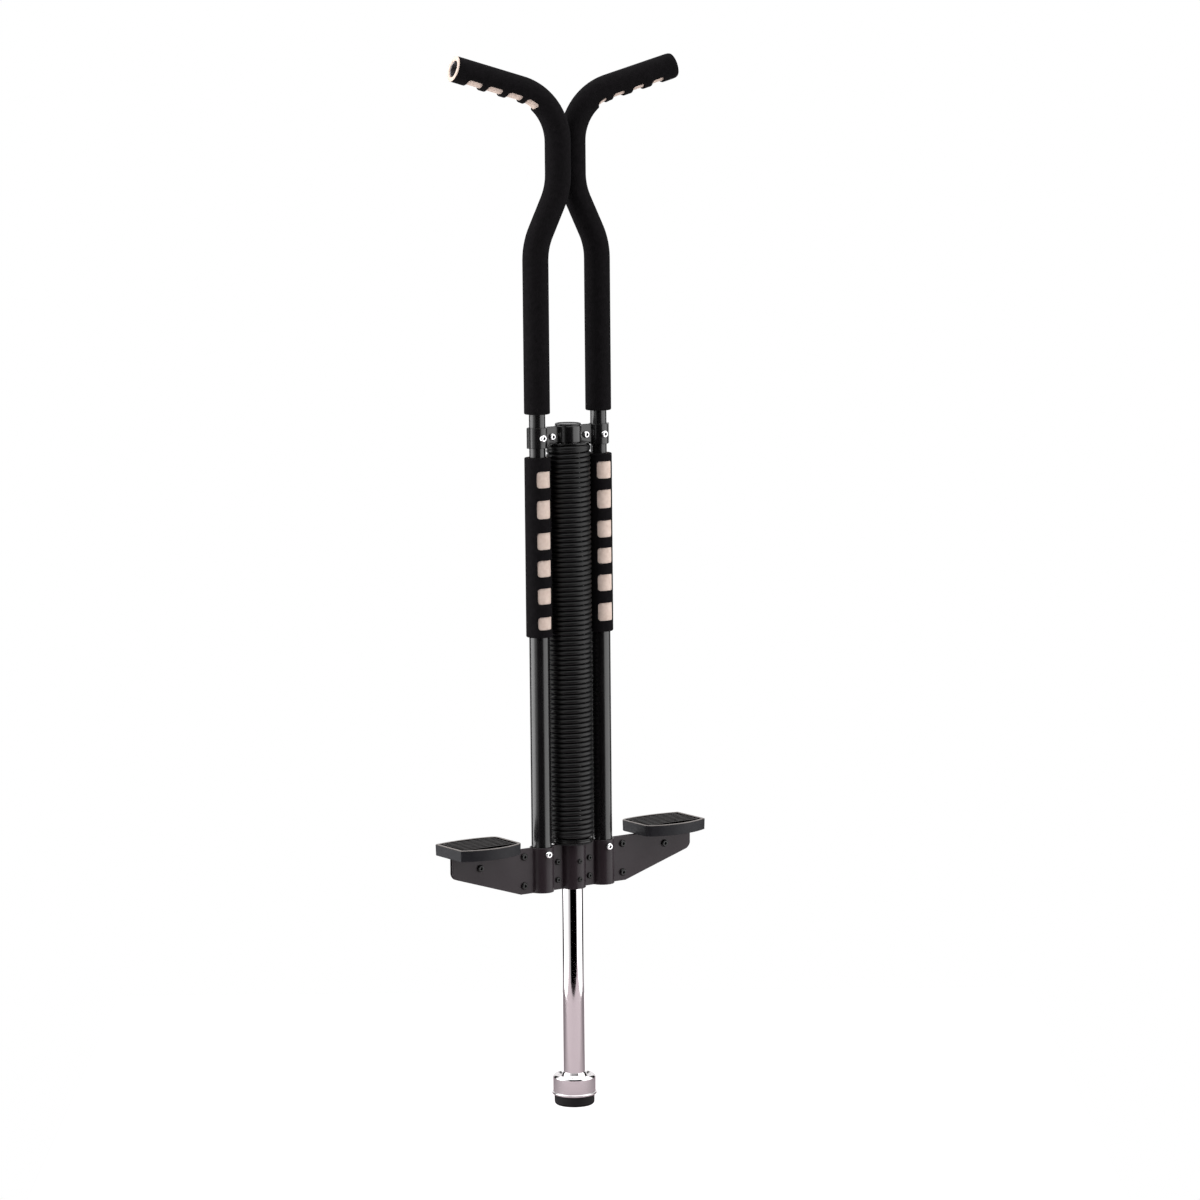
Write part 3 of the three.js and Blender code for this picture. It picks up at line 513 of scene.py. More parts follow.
class Sleeve:
    """A foam layer: an outer and an inner skin, joined at both ends and round every window."""

    EDGE = 0.7  # how much the foam rounds over at a window
    around = 96  # cells round the sleeve

    def __init__(self, place, stations, inner_r, outer_r, windows, mouth_r, end_round=END_ROUND):
        self.place = place
        self.stations = stations
        self.inner_r = inner_r
        self.outer_r = outer_r
        self.windows = windows
        self.mouth_r = mouth_r  # the black foam closes in on the tube at both ends
        self.end_round = end_round  # how much it rounds over at its far end

    def distance(self, s, angle):
        return min(window.distance(s, angle) for window in self.windows)

    def to_edge(self, s, angle, level):
        """Moves a place to where its distance from the nearest window is level."""
        step = 0.05
        for _ in range(6):
            here = self.distance(s, angle)
            along = (self.distance(s + step, angle) - self.distance(s - step, angle)) / 2 / step
            spin = step / self.outer_r
            across = self.distance(s, angle + spin) - self.distance(s, angle - spin)
            across /= 2 * step
            size = max(along**2 + across**2, 0.25)
            s -= (here - level) * along / size
            angle -= (here - level) * across / size / self.outer_r
        return s, angle

    def outer_at(self, s):
        """The outer radius, which rounds over towards both ends."""
        start_dip = max(END_ROUND - s + self.stations[0], 0)
        end_dip = max(self.end_round - self.stations[-1] + s, 0)
        start_drop = END_ROUND - math.sqrt(END_ROUND**2 - start_dip**2)
        thickness = self.outer_r - self.inner_r
        end_share = end_dip / self.end_round
        end_drop = (thickness - 0.2) * (1 - math.sqrt(max(1 - end_share**2, 0)))
        return self.outer_r - start_drop - end_drop

    def build(self, body):
        rows = len(self.stations)
        angles = [math.tau * j / self.around for j in range(self.around)]
        spots = [[(s, a) for a in angles] for s in self.stations]
        kept = set()
        for i in range(rows - 1):
            for j in range(self.around):
                middle_s = (self.stations[i] + self.stations[i + 1]) / 2
                if self.distance(middle_s, angles[j] + math.pi / self.around) > self.EDGE:
                    kept.add((i, j))
        rims = self.rim_edges(kept, rows)
        on_rim = {spot for edge in rims for spot in edge}
        outer, inner = {}, {}
        for i in range(rows):
            for j in range(self.around):
                s, angle = spots[i][j]
                deep_s, deep_angle = s, angle
                if (i, j) in on_rim:
                    s, angle = self.to_edge(s, angle, self.EDGE)
                    deep_s, deep_angle = self.to_edge(s, angle, 0)
                outer[i, j] = len(body.points)
                body.points.append(self.place(s, angle, self.outer_at(s)))
                inner[i, j] = len(body.points)
                inner_r = self.mouth_r if i in (0, rows - 1) else self.inner_r
                body.points.append(self.place(deep_s, deep_angle, inner_r))
        self.add_skins(body, kept, outer, inner)
        self.add_ends(body, outer, inner, rows)
        self.add_rims(body, rims, on_rim, spots, outer, inner)

    def rim_edges(self, kept, rows):
        """The edges where a kept cell meets a missing one, as pairs of grid places."""
        edges = []
        for i, j in kept:
            right = (j + 1) % self.around
            left = (j - 1) % self.around
            if 0 < i and (i - 1, j) not in kept:
                edges.append(((i, right), (i, j)))
            if i < rows - 2 and (i + 1, j) not in kept:
                edges.append(((i + 1, j), (i + 1, right)))
            if (i, right) not in kept:
                edges.append(((i + 1, right), (i, right)))
            if (i, left) not in kept:
                edges.append(((i, j), (i + 1, j)))
        return edges

    def add_skins(self, body, kept, outer, inner):
        for i, j in sorted(kept):
            k = (j + 1) % self.around
            body.add_face((outer[i, j], outer[i, k], outer[i + 1, k], outer[i + 1, j]))
            body.add_face((inner[i, j], inner[i + 1, j], inner[i + 1, k], inner[i, k]))

    def add_ends(self, body, outer, inner, rows):
        for i in (0, rows - 1):
            for j in range(self.around):
                k = (j + 1) % self.around
                body.add_face((outer[i, j], inner[i, j], inner[i, k], outer[i, k]))

    def add_rims(self, body, rims, on_rim, spots, outer, inner):
        """Rounds the outer skin over each window's edge and down to the inner skin."""
        chains = {}
        for spot in sorted(on_rim):
            chain = [outer[spot]]
            s, angle = self.to_edge(*spots[spot[0]][spot[1]], self.EDGE)
            for turn in (math.radians(30), math.radians(60), math.radians(90)):
                level = self.EDGE * (1 - math.sin(turn))
                radius = self.outer_r - self.EDGE * (1 - math.cos(turn))
                edge_s, edge_angle = self.to_edge(s, angle, level)
                chain.append(len(body.points))
                body.points.append(self.place(edge_s, edge_angle, radius))
            chain.append(inner[spot])
            chains[spot] = chain
        for a, b in rims:
            for k in range(len(chains[a]) - 1):
                body.add_face((chains[a][k], chains[b][k], chains[b][k + 1], chains[a][k + 1]))


def end_stations(length, end_round=END_ROUND):
    """Rows close together near both ends, where the foam rounds over."""
    shares = [0, 0.06, 0.23, 0.54, 1]
    near = [END_ROUND * share for share in shares]
    return near, [length - end_round * share for share in reversed(shares)]


def spread(start, end, spacing):
    """Evenly spaced values between two others, without the ends."""
    count = max(1, round((end - start) / spacing))
    return [start + (end - start) * i / count for i in range(1, count)]


def remove_loose_points(piece):
    """Takes out grid points that lie inside a window and belong to no face."""
    shape = bmesh.new()
    shape.from_mesh(piece.data)
    loose = [v for v in shape.verts if not v.link_faces]
    bmesh.ops.delete(shape, geom=loose, context="VERTS")
    shape.to_mesh(piece.data)
    shape.free()


# ---- Handles ----

HALF_TURN = Matrix.Rotation(math.pi, 4, "Z")
SIDES = {"left": Matrix.Identity(4), "right": HALF_TURN}
UPPER_FOAM_BOTTOM = low("upper_foam_left").z


def grip_windows(path, side):
    """Finger windows under the grip, counted back from its end."""
    windows = []
    for i in range(GRIP_WINDOWS):
        s = path.length - GRIP_WINDOW_FROM_END - i * GRIP_WINDOW_PITCH
        half_length = GRIP_WINDOW_LENGTH[side] / 2
        windows.append(Window(math.pi, s, GRIP_WINDOW_HALF_ANGLE, half_length, UPPER_FOAM_R))
    return windows


def build_upper_foam():
    """The left sleeve stops behind the beige ring. The right one covers the end and is rounder."""
    path = HandlePath(UPPER_FOAM_BOTTOM)
    grip_start = path.length - GRIP_WINDOW_FROM_END - GRIP_WINDOWS * GRIP_WINDOW_PITCH + 4
    for side, end, end_round in (
        ("left", path.length - END_RING - 0.1, END_ROUND), ("right", path.length, RIGHT_END_ROUND),
    ):
        near, far = end_stations(end, end_round)
        stations = near + spread(near[-1], grip_start, 4) + [grip_start]
        stations += spread(grip_start, far[0], 0.8) + far
        sleeve = Sleeve(
            path.point, stations, UPPER_LINER_R + FOAM_GAP, UPPER_FOAM_R, grip_windows(path, side),
            UPPER_LINER_R + FOAM_GAP if side == "left" else HANDLE_R + FOAM_GAP, end_round,
        )
        body = Body()
        sleeve.build(body)
        body.move(SIDES[side])
        remove_loose_points(add_piece("upper_foam_" + side, body, black_foam))


def swept_tube(path, stations, outer, inner, ease=0.3, bore_slot=0):
    """A tube along the path: up its outside and back down its bore, with eased rims."""
    rows = [(stations[0], inner + ease), (stations[0], outer - ease)]
    rows += [(s, outer) for s in [stations[0] + ease, *stations[1:-1], stations[-1] - ease]]
    rows += [(stations[-1], outer - ease), (stations[-1], inner + ease)]
    rows += [(s, inner) for s in [stations[-1] - ease, *stations[-2:0:-1], stations[0] + ease]]
    angles = [math.tau * j / TUBE_SIDES for j in range(TUBE_SIDES)]
    loops = [[path.point(s, angle, radius) for angle in angles] for s, radius in rows]
    body = Body()
    body.loft(loops, closed=True)
    bore_faces = (len(stations) + 1) * TUBE_SIDES
    body.slots[-bore_faces:] = [bore_slot] * bore_faces
    return body


def build_handle_layers():
    liner_path = HandlePath(UPPER_FOAM_BOTTOM)
    tube_path = HandlePath(low("handle_tube_left").z)
    ring_start = liner_path.length - END_RING
    liner_rows = [LINER_SHORT, *spread(0, ring_start, 3), liner_path.length - LINER_SHORT]
    tube_end = tube_path.length - LINER_OVERHANG
    tube_rows = [0, *spread(0, tube_end, 3), tube_end]
    for side, turn in SIDES.items():
        liner = swept_tube(liner_path, liner_rows, UPPER_LINER_R, HANDLE_R + FOAM_GAP)
        if side == "left":
            ring_rows = [ring_start, liner_path.length - END_RING / 2, liner_path.length]
            liner.add(swept_tube(liner_path, ring_rows, UPPER_FOAM_R - 0.1, HANDLE_R + 0.7, 0.5))
        liner.move(turn)
        add_piece("upper_liner_" + side, liner, beige_foam)
        tube = swept_tube(tube_path, tube_rows, HANDLE_R, HANDLE_R - HANDLE_WALL, bore_slot=1)
        tube.move(turn)
        add_piece("handle_tube_" + side, tube, gloss_paint, bare_steel)


# ---- Side tubes and lower grips ----


def turned_tube(node, outer, inner, ease, material, shorten=0, **turning):
    bottom, top = low(node).z + shorten, high(node).z - shorten
    corners = [(inner, bottom, ease), (outer, bottom, ease), (outer, top, ease), (inner, top, ease)]
    turned_piece(node, corners, material, closed=True, steps=3, **turning)


def lower_windows(side):
    bottom = low("lower_foam_left").z
    radius = half_width("lower_foam_left")
    turn, places = LOWER_WINDOWS[side]
    return [
        Window(turn, height - bottom, LOWER_WINDOW_HALF_ANGLE, length / 2, radius)
        for height, length in places
    ]


def build_side_tubes():
    for side, x in (("left", -TUBE_X), ("right", TUBE_X)):
        centre = (x, 0)
        bore = LOWER_TUBE_R - LOWER_TUBE_WALL
        turned_tube("lower_tube_" + side, LOWER_TUBE_R, bore, 0.4, gloss_paint, centre=centre)
        inner = LOWER_TUBE_R + FOAM_GAP
        liner = "lower_liner_" + side
        turned_tube(liner, LOWER_LINER_R, inner, 0.3, beige_foam, LINER_SHORT, centre=centre)
        node = "lower_foam_" + side
        length = high(node).z - low(node).z
        near, far = end_stations(length)
        stations = near + spread(near[-1], far[0], 0.85) + far
        place = straight_point(x, low(node).z)
        sleeve = Sleeve(
            place, stations, LOWER_LINER_R + FOAM_GAP, half_width(node), lower_windows(side),
            LOWER_TUBE_R + FOAM_GAP,
        )
        body = Body()
        sleeve.build(body)
        remove_loose_points(add_piece(node, body, black_foam))


# ---- Stamped sheets ----

AHEAD = Vector((0, -1))


def arc_stations(centre, radius, start, end, facing, steps):
    """Points on an arc with the direction that the sheet's front faces at each."""
    stations = []
    for i in range(steps + 1):
        angle = start + (end - start) * i / steps
        spoke = Vector((math.cos(angle), math.sin(angle)))
        stations.append((Vector(centre) + spoke * radius, spoke * facing))
    return stations


def sheet_stations(tube_r, sheet, half_gap, half_length):
    """The front sheet's middle line seen from above, as (point, facing) pairs from -X to +X."""
    flat = half_gap + sheet / 2
    fold = FOLD_R + sheet / 2
    stations = [(Vector((-half_length, -flat)), AHEAD)]
    for centre_x, inner_r in ((-TUBE_X, tube_r), (0, BUSH_R), (TUBE_X, tube_r)):
        radius = inner_r + WRAP_CLEARANCE + sheet / 2
        reach = math.sqrt((radius + fold) ** 2 - (flat + fold) ** 2)
        tilt = math.atan2(flat + fold, reach)
        left = (centre_x - reach, -flat - fold)
        right = (centre_x + reach, -flat - fold)
        stations += arc_stations(left, fold, math.pi / 2, tilt, -1, 5)
        stations += arc_stations((centre_x, 0), radius, math.pi + tilt, math.tau - tilt, 1, 28)
        stations += arc_stations(right, fold, math.pi - tilt, math.pi / 2, -1, 5)
    stations.append((Vector((half_length, -flat)), AHEAD))
    return stations


def sheet_loop(point, facing, sheet, bottom, top, inset=0.0):
    """The sheet's upright cross-section at one station, with eased edges."""
    ease = 0.35
    half = sheet / 2 - inset
    bottom += inset
    top -= inset
    section = [
        (half, bottom + ease), (half, top - ease), (half - ease, top), (ease - half, top),
        (-half, top - ease), (-half, bottom + ease), (ease - half, bottom), (half - ease, bottom),
    ]
    return [Vector((*(point + facing * out), z)) for out, z in section]


def build_sheet(name, stations, sheet, edges, material):
    """edges gives the sheet's bottom and top at an x. The back sheet is the front one turned round."""
    loops = []
    for i, (point, facing) in enumerate(stations):
        bottom, top = edges(point.x)
        if i in (0, len(stations) - 1):
            inward = Vector((0.3 if i == 0 else -0.3, 0))
            end_loop = sheet_loop(point, facing, sheet, bottom, top, 0.3)
            next_loop = sheet_loop(point + inward, facing, sheet, bottom, top)
            loops += [end_loop, next_loop] if i == 0 else [next_loop, end_loop]
        else:
            loops.append(sheet_loop(point, facing, sheet, bottom, top))
    for face, turn in (("front", Matrix.Identity(4)), ("back", HALF_TURN)):
        body = Body()
        body.loft(loops)
        body.move(turn)
        add_piece(f"{name}_{face}", body, material, smooth_to=math.radians(30))


def collar_edges(x):
    bottom, top = heights("collar_front")
    wrap_edge = TUBE_X - HANDLE_R - WRAP_CLEARANCE - COLLAR_SHEET
    share = min(max((wrap_edge - abs(x)) / 1.5, 0), 1)
    return bottom + COLLAR_UNDERCUT * share, top


def bracket_edges(x):
    """Level on top. Below, level to the kink and then a slope to a rounded outer corner."""
    bottom, top = heights("bracket_front")
    outer = high("bracket_front").x
    along = max(abs(x) - ARM_KINK_X, 0) / (outer - ARM_KINK_X)
    edge = bottom + along * (ARM_END_BOTTOM - bottom)
    into_corner = max(abs(x) - outer + ARM_CORNER_R, 0)
    lift = ARM_CORNER_R - math.sqrt(max(ARM_CORNER_R**2 - into_corner**2, 0))
    return edge + lift, top


def build_collar():
    stations = sheet_stations(HANDLE_R, COLLAR_SHEET, COLLAR_HALF_GAP, high("collar_front").x)
    build_sheet("collar", stations, COLLAR_SHEET, collar_edges, gloss_paint)
    node = "top_bush"
    rim_r = half_width(node)
    bore = LEG_R + BUSH_CLEARANCE
    bottom, top = heights(node)
    rim_bottom = high("collar_front").z + 0.3
    turned_piece(node, [
        (bore, bottom, 0.2), (BUSH_R, bottom, 0.3), (BUSH_R, rim_bottom, 0),
        (rim_r, rim_bottom, 0.4), (rim_r, top, 0.9), (bore, top, 0.5),
    ], black_nylon, closed=True)


def build_bracket():
    outer = high("bracket_front").x
    stations = sheet_stations(LOWER_TUBE_R, BRACKET_SHEET, BRACKET_HALF_GAP, outer)
    flat = stations[0][0].y
    corner_xs = [outer - ARM_CORNER_R * (1 - math.sin(math.radians(a))) for a in range(0, 90, 9)]
    arm_xs = [ARM_KINK_X, *corner_xs]
    right = [(Vector((x, flat)), AHEAD) for x in arm_xs]
    left = [(Vector((-x, flat)), AHEAD) for x in reversed(arm_xs)]
    stations = [stations[0], *left, *stations[1:-1], *right, stations[-1]]
    build_sheet("bracket", stations, BRACKET_SHEET, bracket_edges, sheet_paint)
    turned_tube("bottom_bush", BUSH_R, LEG_R + BUSH_CLEARANCE, 0.2, black_nylon)


# ---- Fasteners ----

FASTENER_SIDES = 48
SCREW_HEAD_HEIGHT = 2.2
SCREW_SHANK_R = 1.9
THREAD_PITCH = 0.7
THREAD_DEPTH = 0.22


def fastener_loop(x, z, y, radius, hexagon=0.0):
    """A loop round an axis along Y. hexagon blends it from a circle to a hexagon of that radius."""
    loop = []
    for i in range(FASTENER_SIDES):
        angle = math.tau * i / FASTENER_SIDES
        to_flat = (angle + math.pi / 6) % (math.pi / 3) - math.pi / 6
        reach = radius * (1 - hexagon + hexagon * math.cos(math.pi / 6) / math.cos(to_flat))
        loop.append(Vector((x + reach * math.sin(angle), y, z + reach * math.cos(angle))))
    return loop


def dome_rows(head, height, face, out, degrees=78, count=6, narrowing=1.0):
    """Rows of (y, radius, hexagon) from a head's underside over its dome.

    face is the y of the underside, and out is -1 when the head faces the front.
    """
    rows = [(face, head - 0.15, 0), (face + out * 0.15, head, 0)]
    for i in range(1, count + 1):
        turn = math.radians(degrees * i / count)
        y = face + out * (0.3 + (height - 0.3) * math.sin(turn))
        rows.append((y, head * math.cos(turn * narrowing), 0))
    return rows


def head_rows(head, height, socket, face, out):
    """A flatter dome that ends in a hexagon socket."""
    rows = dome_rows(head, height, face, out, 75, 5, 0.6)
    top = face + out * height
    rows += [(top, socket + 0.35, 0), (top - out * 0.12, socket + 0.05, 1)]
    rows += [(top - out * 0.9 * height, socket, 1)]
    return rows


def add_fastener(node, rows, x, z, material, smooth_to=32, closed=False):
    body = Body()
    body.loft([fastener_loop(x, z, y, r, hexagon) for y, r, hexagon in rows], closed=closed)
    add_piece(node, body, material, smooth_to=math.radians(smooth_to))


def build_screw(name):
    """A button-head socket screw from the front, and its nut on the threaded end behind."""
    screw, nut = name + "_screw", name + "_nut"
    centre = middle(nut)
    x, z = centre.x, centre.z
    head_y, end_y = low(screw).y, high(screw).y
    head, height, shank = half_width(screw), SCREW_HEAD_HEIGHT, SCREW_SHANK_R
    face = head_y + height
    thread = []
    y = end_y
    while y > low(nut).y - 0.5:
        thread += [(y, shank - THREAD_DEPTH, 0), (y - THREAD_PITCH / 2, shank, 0)]
        y -= THREAD_PITCH
    rows = [*thread, (face, shank, 0), *head_rows(head, height, 1.75, face, -1)]
    add_fastener(screw, rows, x, z, bright_steel)
    build_nut(nut, x, z)


def build_nut(nut, x, z):
    front, back = low(nut).y, high(nut).y
    across, bore, chamfer = half_width(nut), 2.1, 0.45
    rows = [
        (front, bore + 0.3, 0), (front, across * 0.86, 0), (front + chamfer, across, 1),
        (back - chamfer, across, 1), (back, across * 0.86, 0), (back, bore + 0.3, 0),
        (back - 0.3, bore, 0), (front + 0.3, bore, 0),
    ]
    add_fastener(nut, rows, x, z, bright_steel, smooth_to=25, closed=True)


def build_rivet(node, height, shank, socket):
    """A black fastener with a socketed head in front and a plain dome behind."""
    centre = middle(node)
    head = half_width(node)
    front, back = low(node).y, high(node).y
    rows = list(reversed(dome_rows(head, height, back - height, 1)))
    rows += [(back - height, shank, 0), (front + height, shank, 0)]
    rows += head_rows(head, height, socket, front + height, -1)
    add_fastener(node, rows, centre.x, centre.z, black_steel)


def build_bush_pin(node):
    centre = middle(node)
    front, back = low(node).y, high(node).y
    height = 1.4
    rows = [(back, 1.3, 0), (front + height, 1.4, 0)]
    rows += head_rows(half_width(node), height, 1.1, front + height, -1)
    add_fastener(node, rows, centre.x, centre.z, black_steel)


def build_fasteners():
    for place in ("collar_tube", "collar_flat", "bracket_tube"):
        for side in ("left", "right"):
            build_screw(f"{place}_{side}")
    for i in range(1, 7):
        build_rivet(f"arm_rivet_{i}", 1.9, 2.2, 1.6)
    for i in range(1, 5):
        build_rivet(f"flat_rivet_{i}", 1.6, 1.8, 1.2)
    for i in (1, 2):
        build_bush_pin(f"bush_pin_{i}")


# ---- Pedals ----


def pedal_outline(side, inset):
    """A pedal from above: straight ends, long edges that swell, and rounded corners.

    The side is -1 for the left pedal and 1 for the right one.
    """
    inner, outer = low("pedal_right").x, high("pedal_right").x
    length = outer - inner
    corner_y = high("pedal_right").y - PEDAL_BACK_BULGE
    steps = 20
    shares = [i / steps for i in range(3, steps)]
    corners = [(inner, -corner_y, PEDAL_INNER_CORNER_R)]
    for t in shares:
        corners.append((inner + length * t, -corner_y - PEDAL_FRONT_BULGE * 4 * t * (1 - t), 0))
    corners += [(outer, -corner_y, PEDAL_OUTER_CORNER_R), (outer, corner_y, PEDAL_OUTER_CORNER_R)]
    for t in reversed(shares):
        corners.append((inner + length * t, corner_y + PEDAL_BACK_BULGE * 4 * t * (1 - t), 0))
    corners.append((inner, corner_y, PEDAL_INNER_CORNER_R))
    points = round_corners(corners, closed=True, steps=8)
    inset_points = []
    for i, here in enumerate(points):
        along = points[(i + 1) % len(points)] - points[i - 1]
        inward = Vector((-along.y, along.x)).normalized()
        spot = here + inward * inset
        inset_points.append(Vector((side * spot.x, spot.y)))
    return inset_points


def pedal_loops(side, rows):
    return [[Vector((p.x, p.y, z)) for p in pedal_outline(side, inset)] for inset, z in rows]


def add_box(body, start, end):
    """A box with eased edges along its length."""
    ease = 0.2
    loops = []
    for x, shrink in ((start.x, ease), (start.x + ease, 0), (end.x - ease, 0), (end.x, ease)):
        y0, y1 = start.y + shrink, end.y - shrink
        z0, z1 = start.z + shrink, end.z - shrink
        loops.append([Vector((x, y0, z0)), Vector((x, y1, z0)), Vector((x, y1, z1)), Vector((x, y0, z1))])
    body.loft(loops)


def pedal_body(side):
    """A hollow moulding: up inside the skirt, round its lip, over the rim and into the recess. The rim's
    top and inner wall take a lighter colour, a painted highlight for light caught on the rounded rim.
    """
    top = high("pedal_right").z
    bottom = top - PEDAL_HEIGHT
    ceiling = top - PEDAL_RIM_HEIGHT - PEDAL_PLATE
    floor = top - PEDAL_RIM_HEIGHT
    body = Body()
    body.loft(pedal_loops(side, [
        (PEDAL_SKIRT + 0.6, ceiling), (PEDAL_SKIRT, ceiling - 0.6), (PEDAL_SKIRT, bottom + 0.3),
        (PEDAL_SKIRT - 0.3, bottom), (0.6, bottom), (0.3, bottom + 0.35), (0, top - 0.9),
        (0.1, top - 0.4),
    ]))
    # painted highlight: the rim's top and inner wall take the lighter rim material
    body.loft(pedal_loops(side, [
        (0.1, top - 0.4), (0.35, top - 0.08), (0.6, top), (PEDAL_RIM - 0.5, top),
        (PEDAL_RIM - 0.15, top - 0.1), (PEDAL_RIM, top - 0.4), (PEDAL_RIM, floor),
    ]), slot=1)
    inner, outer = low("pedal_right").x, high("pedal_right").x
    for y in (-PEDAL_RIB_Y, PEDAL_RIB_Y):
        ends = sorted((side * (inner + 2), side * (outer - 2)))
        start = Vector((ends[0], y - PEDAL_RIB_HALF, bottom + 1.2))
        add_box(body, start, Vector((ends[1], y + PEDAL_RIB_HALF, ceiling + 0.5)))
    return body


def web_loops(side):
    """The web that hangs from the pedal between the bracket's sheets."""
    half = BRACKET_HALF_GAP - 0.3
    top = high("pedal_right").z - PEDAL_RIM_HEIGHT - 1
    bottom = low("pedal_right").z
    outline = [
        (WEB_INNER, bottom), (WEB_OUTER, bottom + WEB_RISE), (WEB_OUTER, top), (WEB_INNER, top),
    ]
    return [[Vector((side * x, y, z)) for x, z in outline] for y in (-half, half)]


def tread_body(side):
    """A thin mat with rounded ribs along X that stop short of the rim."""
    node = "pedal_tread_right"
    bottom, top = heights(node)
    base = bottom + 0.8
    inset = PEDAL_RIM + 0.25
    body = Body()
    body.loft(pedal_loops(side, [
        (inset + 0.2, bottom), (inset, bottom + 0.2), (inset, base - 0.2), (inset + 0.3, base),
    ]))
    ends = sorted((side * (low(node).x + 2.2), side * (high(node).x - 2.2)))
    for i in range(TREAD_RIBS):
        y = (i - (TREAD_RIBS - 1) / 2) * TREAD_RIB_PITCH
        add_rib(body, ends[0], ends[1], y, base - 0.1, top)
    return body


def add_rib(body, start, end, y, bottom, top):
    half = TREAD_RIB_PITCH / 4
    loops = []
    for x, share in ((start, 0.35), (start + 0.5, 0.85), (start + 1.2, 1), (end - 1.2, 1),
                     (end - 0.5, 0.85), (end, 0.35)):
        rise = (top - bottom) * share
        loop = [Vector((x, y - half * share, bottom)), Vector((x, y + half * share, bottom))]
        for angle in range(20, 180, 20):
            turn = math.radians(angle)
            out = half * share * math.cos(turn) * 0.9
            loop.append(Vector((x, y + out, bottom + rise * math.sin(turn) ** 0.6)))
        loops.append(loop)
    body.loft(loops)


def build_pedals():
    for name, side in (("left", -1), ("right", 1)):
        pedal = pedal_body(side)
        pedal.loft(web_loops(side))
        add_piece(
            "pedal_" + name, pedal, pedal_plastic, pedal_rim_painted_highlight, smooth_to=math.radians(34)
        )
        add_piece("pedal_tread_" + name, tread_body(side), tread_rubber)


# ---- Leg, foot and spring ----


def build_leg():
    turned_tube("leg_tube", LEG_R, LEG_R - LEG_WALL, 0.3, chrome, sides=LEG_SIDES)
    bottom, top = heights("leg_cap")
    rim = high("leg_tube").z + 0.3
    spigot = LEG_R - 1.9
    turned_piece("leg_cap", [
        (0.5, bottom, 0), (spigot, bottom, 0.6), (spigot, rim, 0), (LEG_R, rim, 0.4),
        (LEG_R, top, 1.6), (0.5, top, 0),
    ], black_nylon)


def build_foot():
    node = "foot_cup"
    bottom, top = heights(node)
    bead = half_width(node)
    skirt = bead - CUP_BEAD
    bore = LEG_R + 0.12
    turned_piece(node, [
        (bore, CUP_FLOOR, 0), (CUP_CAVITY_R, CUP_FLOOR, 1), (CUP_CAVITY_R, bottom, 0.3),
        (bead, bottom, 0.7), (bead, bottom + 2, 0.8), (skirt, bottom + 2.5, 0.25),
        (skirt, CUP_CREST - 0.9, 3.6), (skirt - 3.4, CUP_CREST + 0.4, 1.6),
        (skirt - 7.2, CUP_CREST - 2.4, 0.7), (bore + 1.5, CUP_CREST + 0.1, 1.5),
        (bore + 0.35, top, 0.25), (bore, top, 0),
    ], brushed_chrome, 50, sides=LEG_SIDES, closed=True, steps=8)
    tip_r = half_width("rubber_tip")
    step = bottom - 0.25
    spigot = CUP_CAVITY_R - 0.3
    spigot_top = high("rubber_tip").z
    turned_piece("rubber_tip", [
        (3, 0.9, 0), (10, 0.9, 0.3), (10.6, 0, 0.3), (tip_r - 0.2, 0, 2.8), (tip_r, step, 0.5),
        (spigot, step, 0), (spigot, spigot_top, 0.5), (3, spigot_top, 0),
    ], black_rubber, sides=LEG_SIDES)
    bottom, top = heights("end_disc")
    disc_r = half_width("end_disc")
    corners = [(3, bottom, 0), (disc_r, bottom, 0.3), (disc_r, top, 0.3), (3, top, 0)]
    turned_piece("end_disc", corners, bright_steel)


def build_spring_seat():
    node = "spring_seat"
    bottom, top = heights(node)
    bore, hub, flange = LEG_R + 0.15, SEAT_HUB_R, half_width(node)
    step = bottom + SEAT_FLANGE
    turned_piece(node, [
        (bore, bottom, 0.2), (flange, bottom, 0.5), (flange, step, 0.5), (hub, step, 0.6),
        (hub, top, 0.8), (bore, top, 0.3),
    ], black_steel, closed=True)
    pin = Body()
    centre = middle("seat_pin")
    reach = half_width("seat_pin")
    pin_r = (high("seat_pin").y - low("seat_pin").y) / 2
    pin.turn([
        (0.5, -reach, 0), (pin_r, -reach, 0.4), (pin_r, reach, 0.4), (0.5, reach, 0),
    ], sides=32)
    pin.move(Matrix.Translation(centre) @ Matrix.Rotation(math.pi / 2, 4, "Y"))
    add_piece("seat_pin", pin, bright_steel)
    for washer, bore_r, material in (
        ("thrust_washer", hub + 0.4, black_steel),
        ("spring_top_washer", LEG_R + 0.4, black_steel),
        ("rebound_washer", LEG_R + 0.4, black_rubber),
    ):
        turned_tube(washer, half_width(washer), bore_r, 0.25, material)


def spring_height(turns, bottom, top):
    """Height of the wire's middle after a number of turns. The end coils are ground nearly flat."""
    closed = 1.0
    tight = 0.6 * WIRE_R
    rise = top - bottom - 2 * WIRE_R
    pitch = (rise - 2 * closed * tight) / (COILS - 2 * closed)
    low_part = min(turns, closed) * tight
    open_part = min(max(turns - closed, 0), COILS - 2 * closed) * pitch
    top_part = max(turns - COILS + closed, 0) * tight
    return bottom + WIRE_R + low_part + open_part + top_part


def build_spring():
    node = "coil_spring"
    bottom, top = heights(node)
    steps_per_coil, wire_sides = 40, 12
    coil_r = SPRING_R - WIRE_R
    loops = []
    for i in range(COILS * steps_per_coil + 1):
        angle = math.tau * i / steps_per_coil
        z = spring_height(i / steps_per_coil, bottom, top)
        outward = Vector((math.cos(angle), math.sin(angle), 0))
        loop = []
        for j in range(wire_sides):
            turn = math.tau * j / wire_sides
            out = coil_r + WIRE_R * math.cos(turn)
            loop.append(outward * out + Vector((0, 0, z + WIRE_R * math.sin(turn))))
        loops.append(loop)
    body = Body()
    body.loft(loops)
    spring = add_piece(node, body, spring_paint, smooth_to=math.radians(60))
    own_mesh(spring)


# ---- Stage, light and camera ----

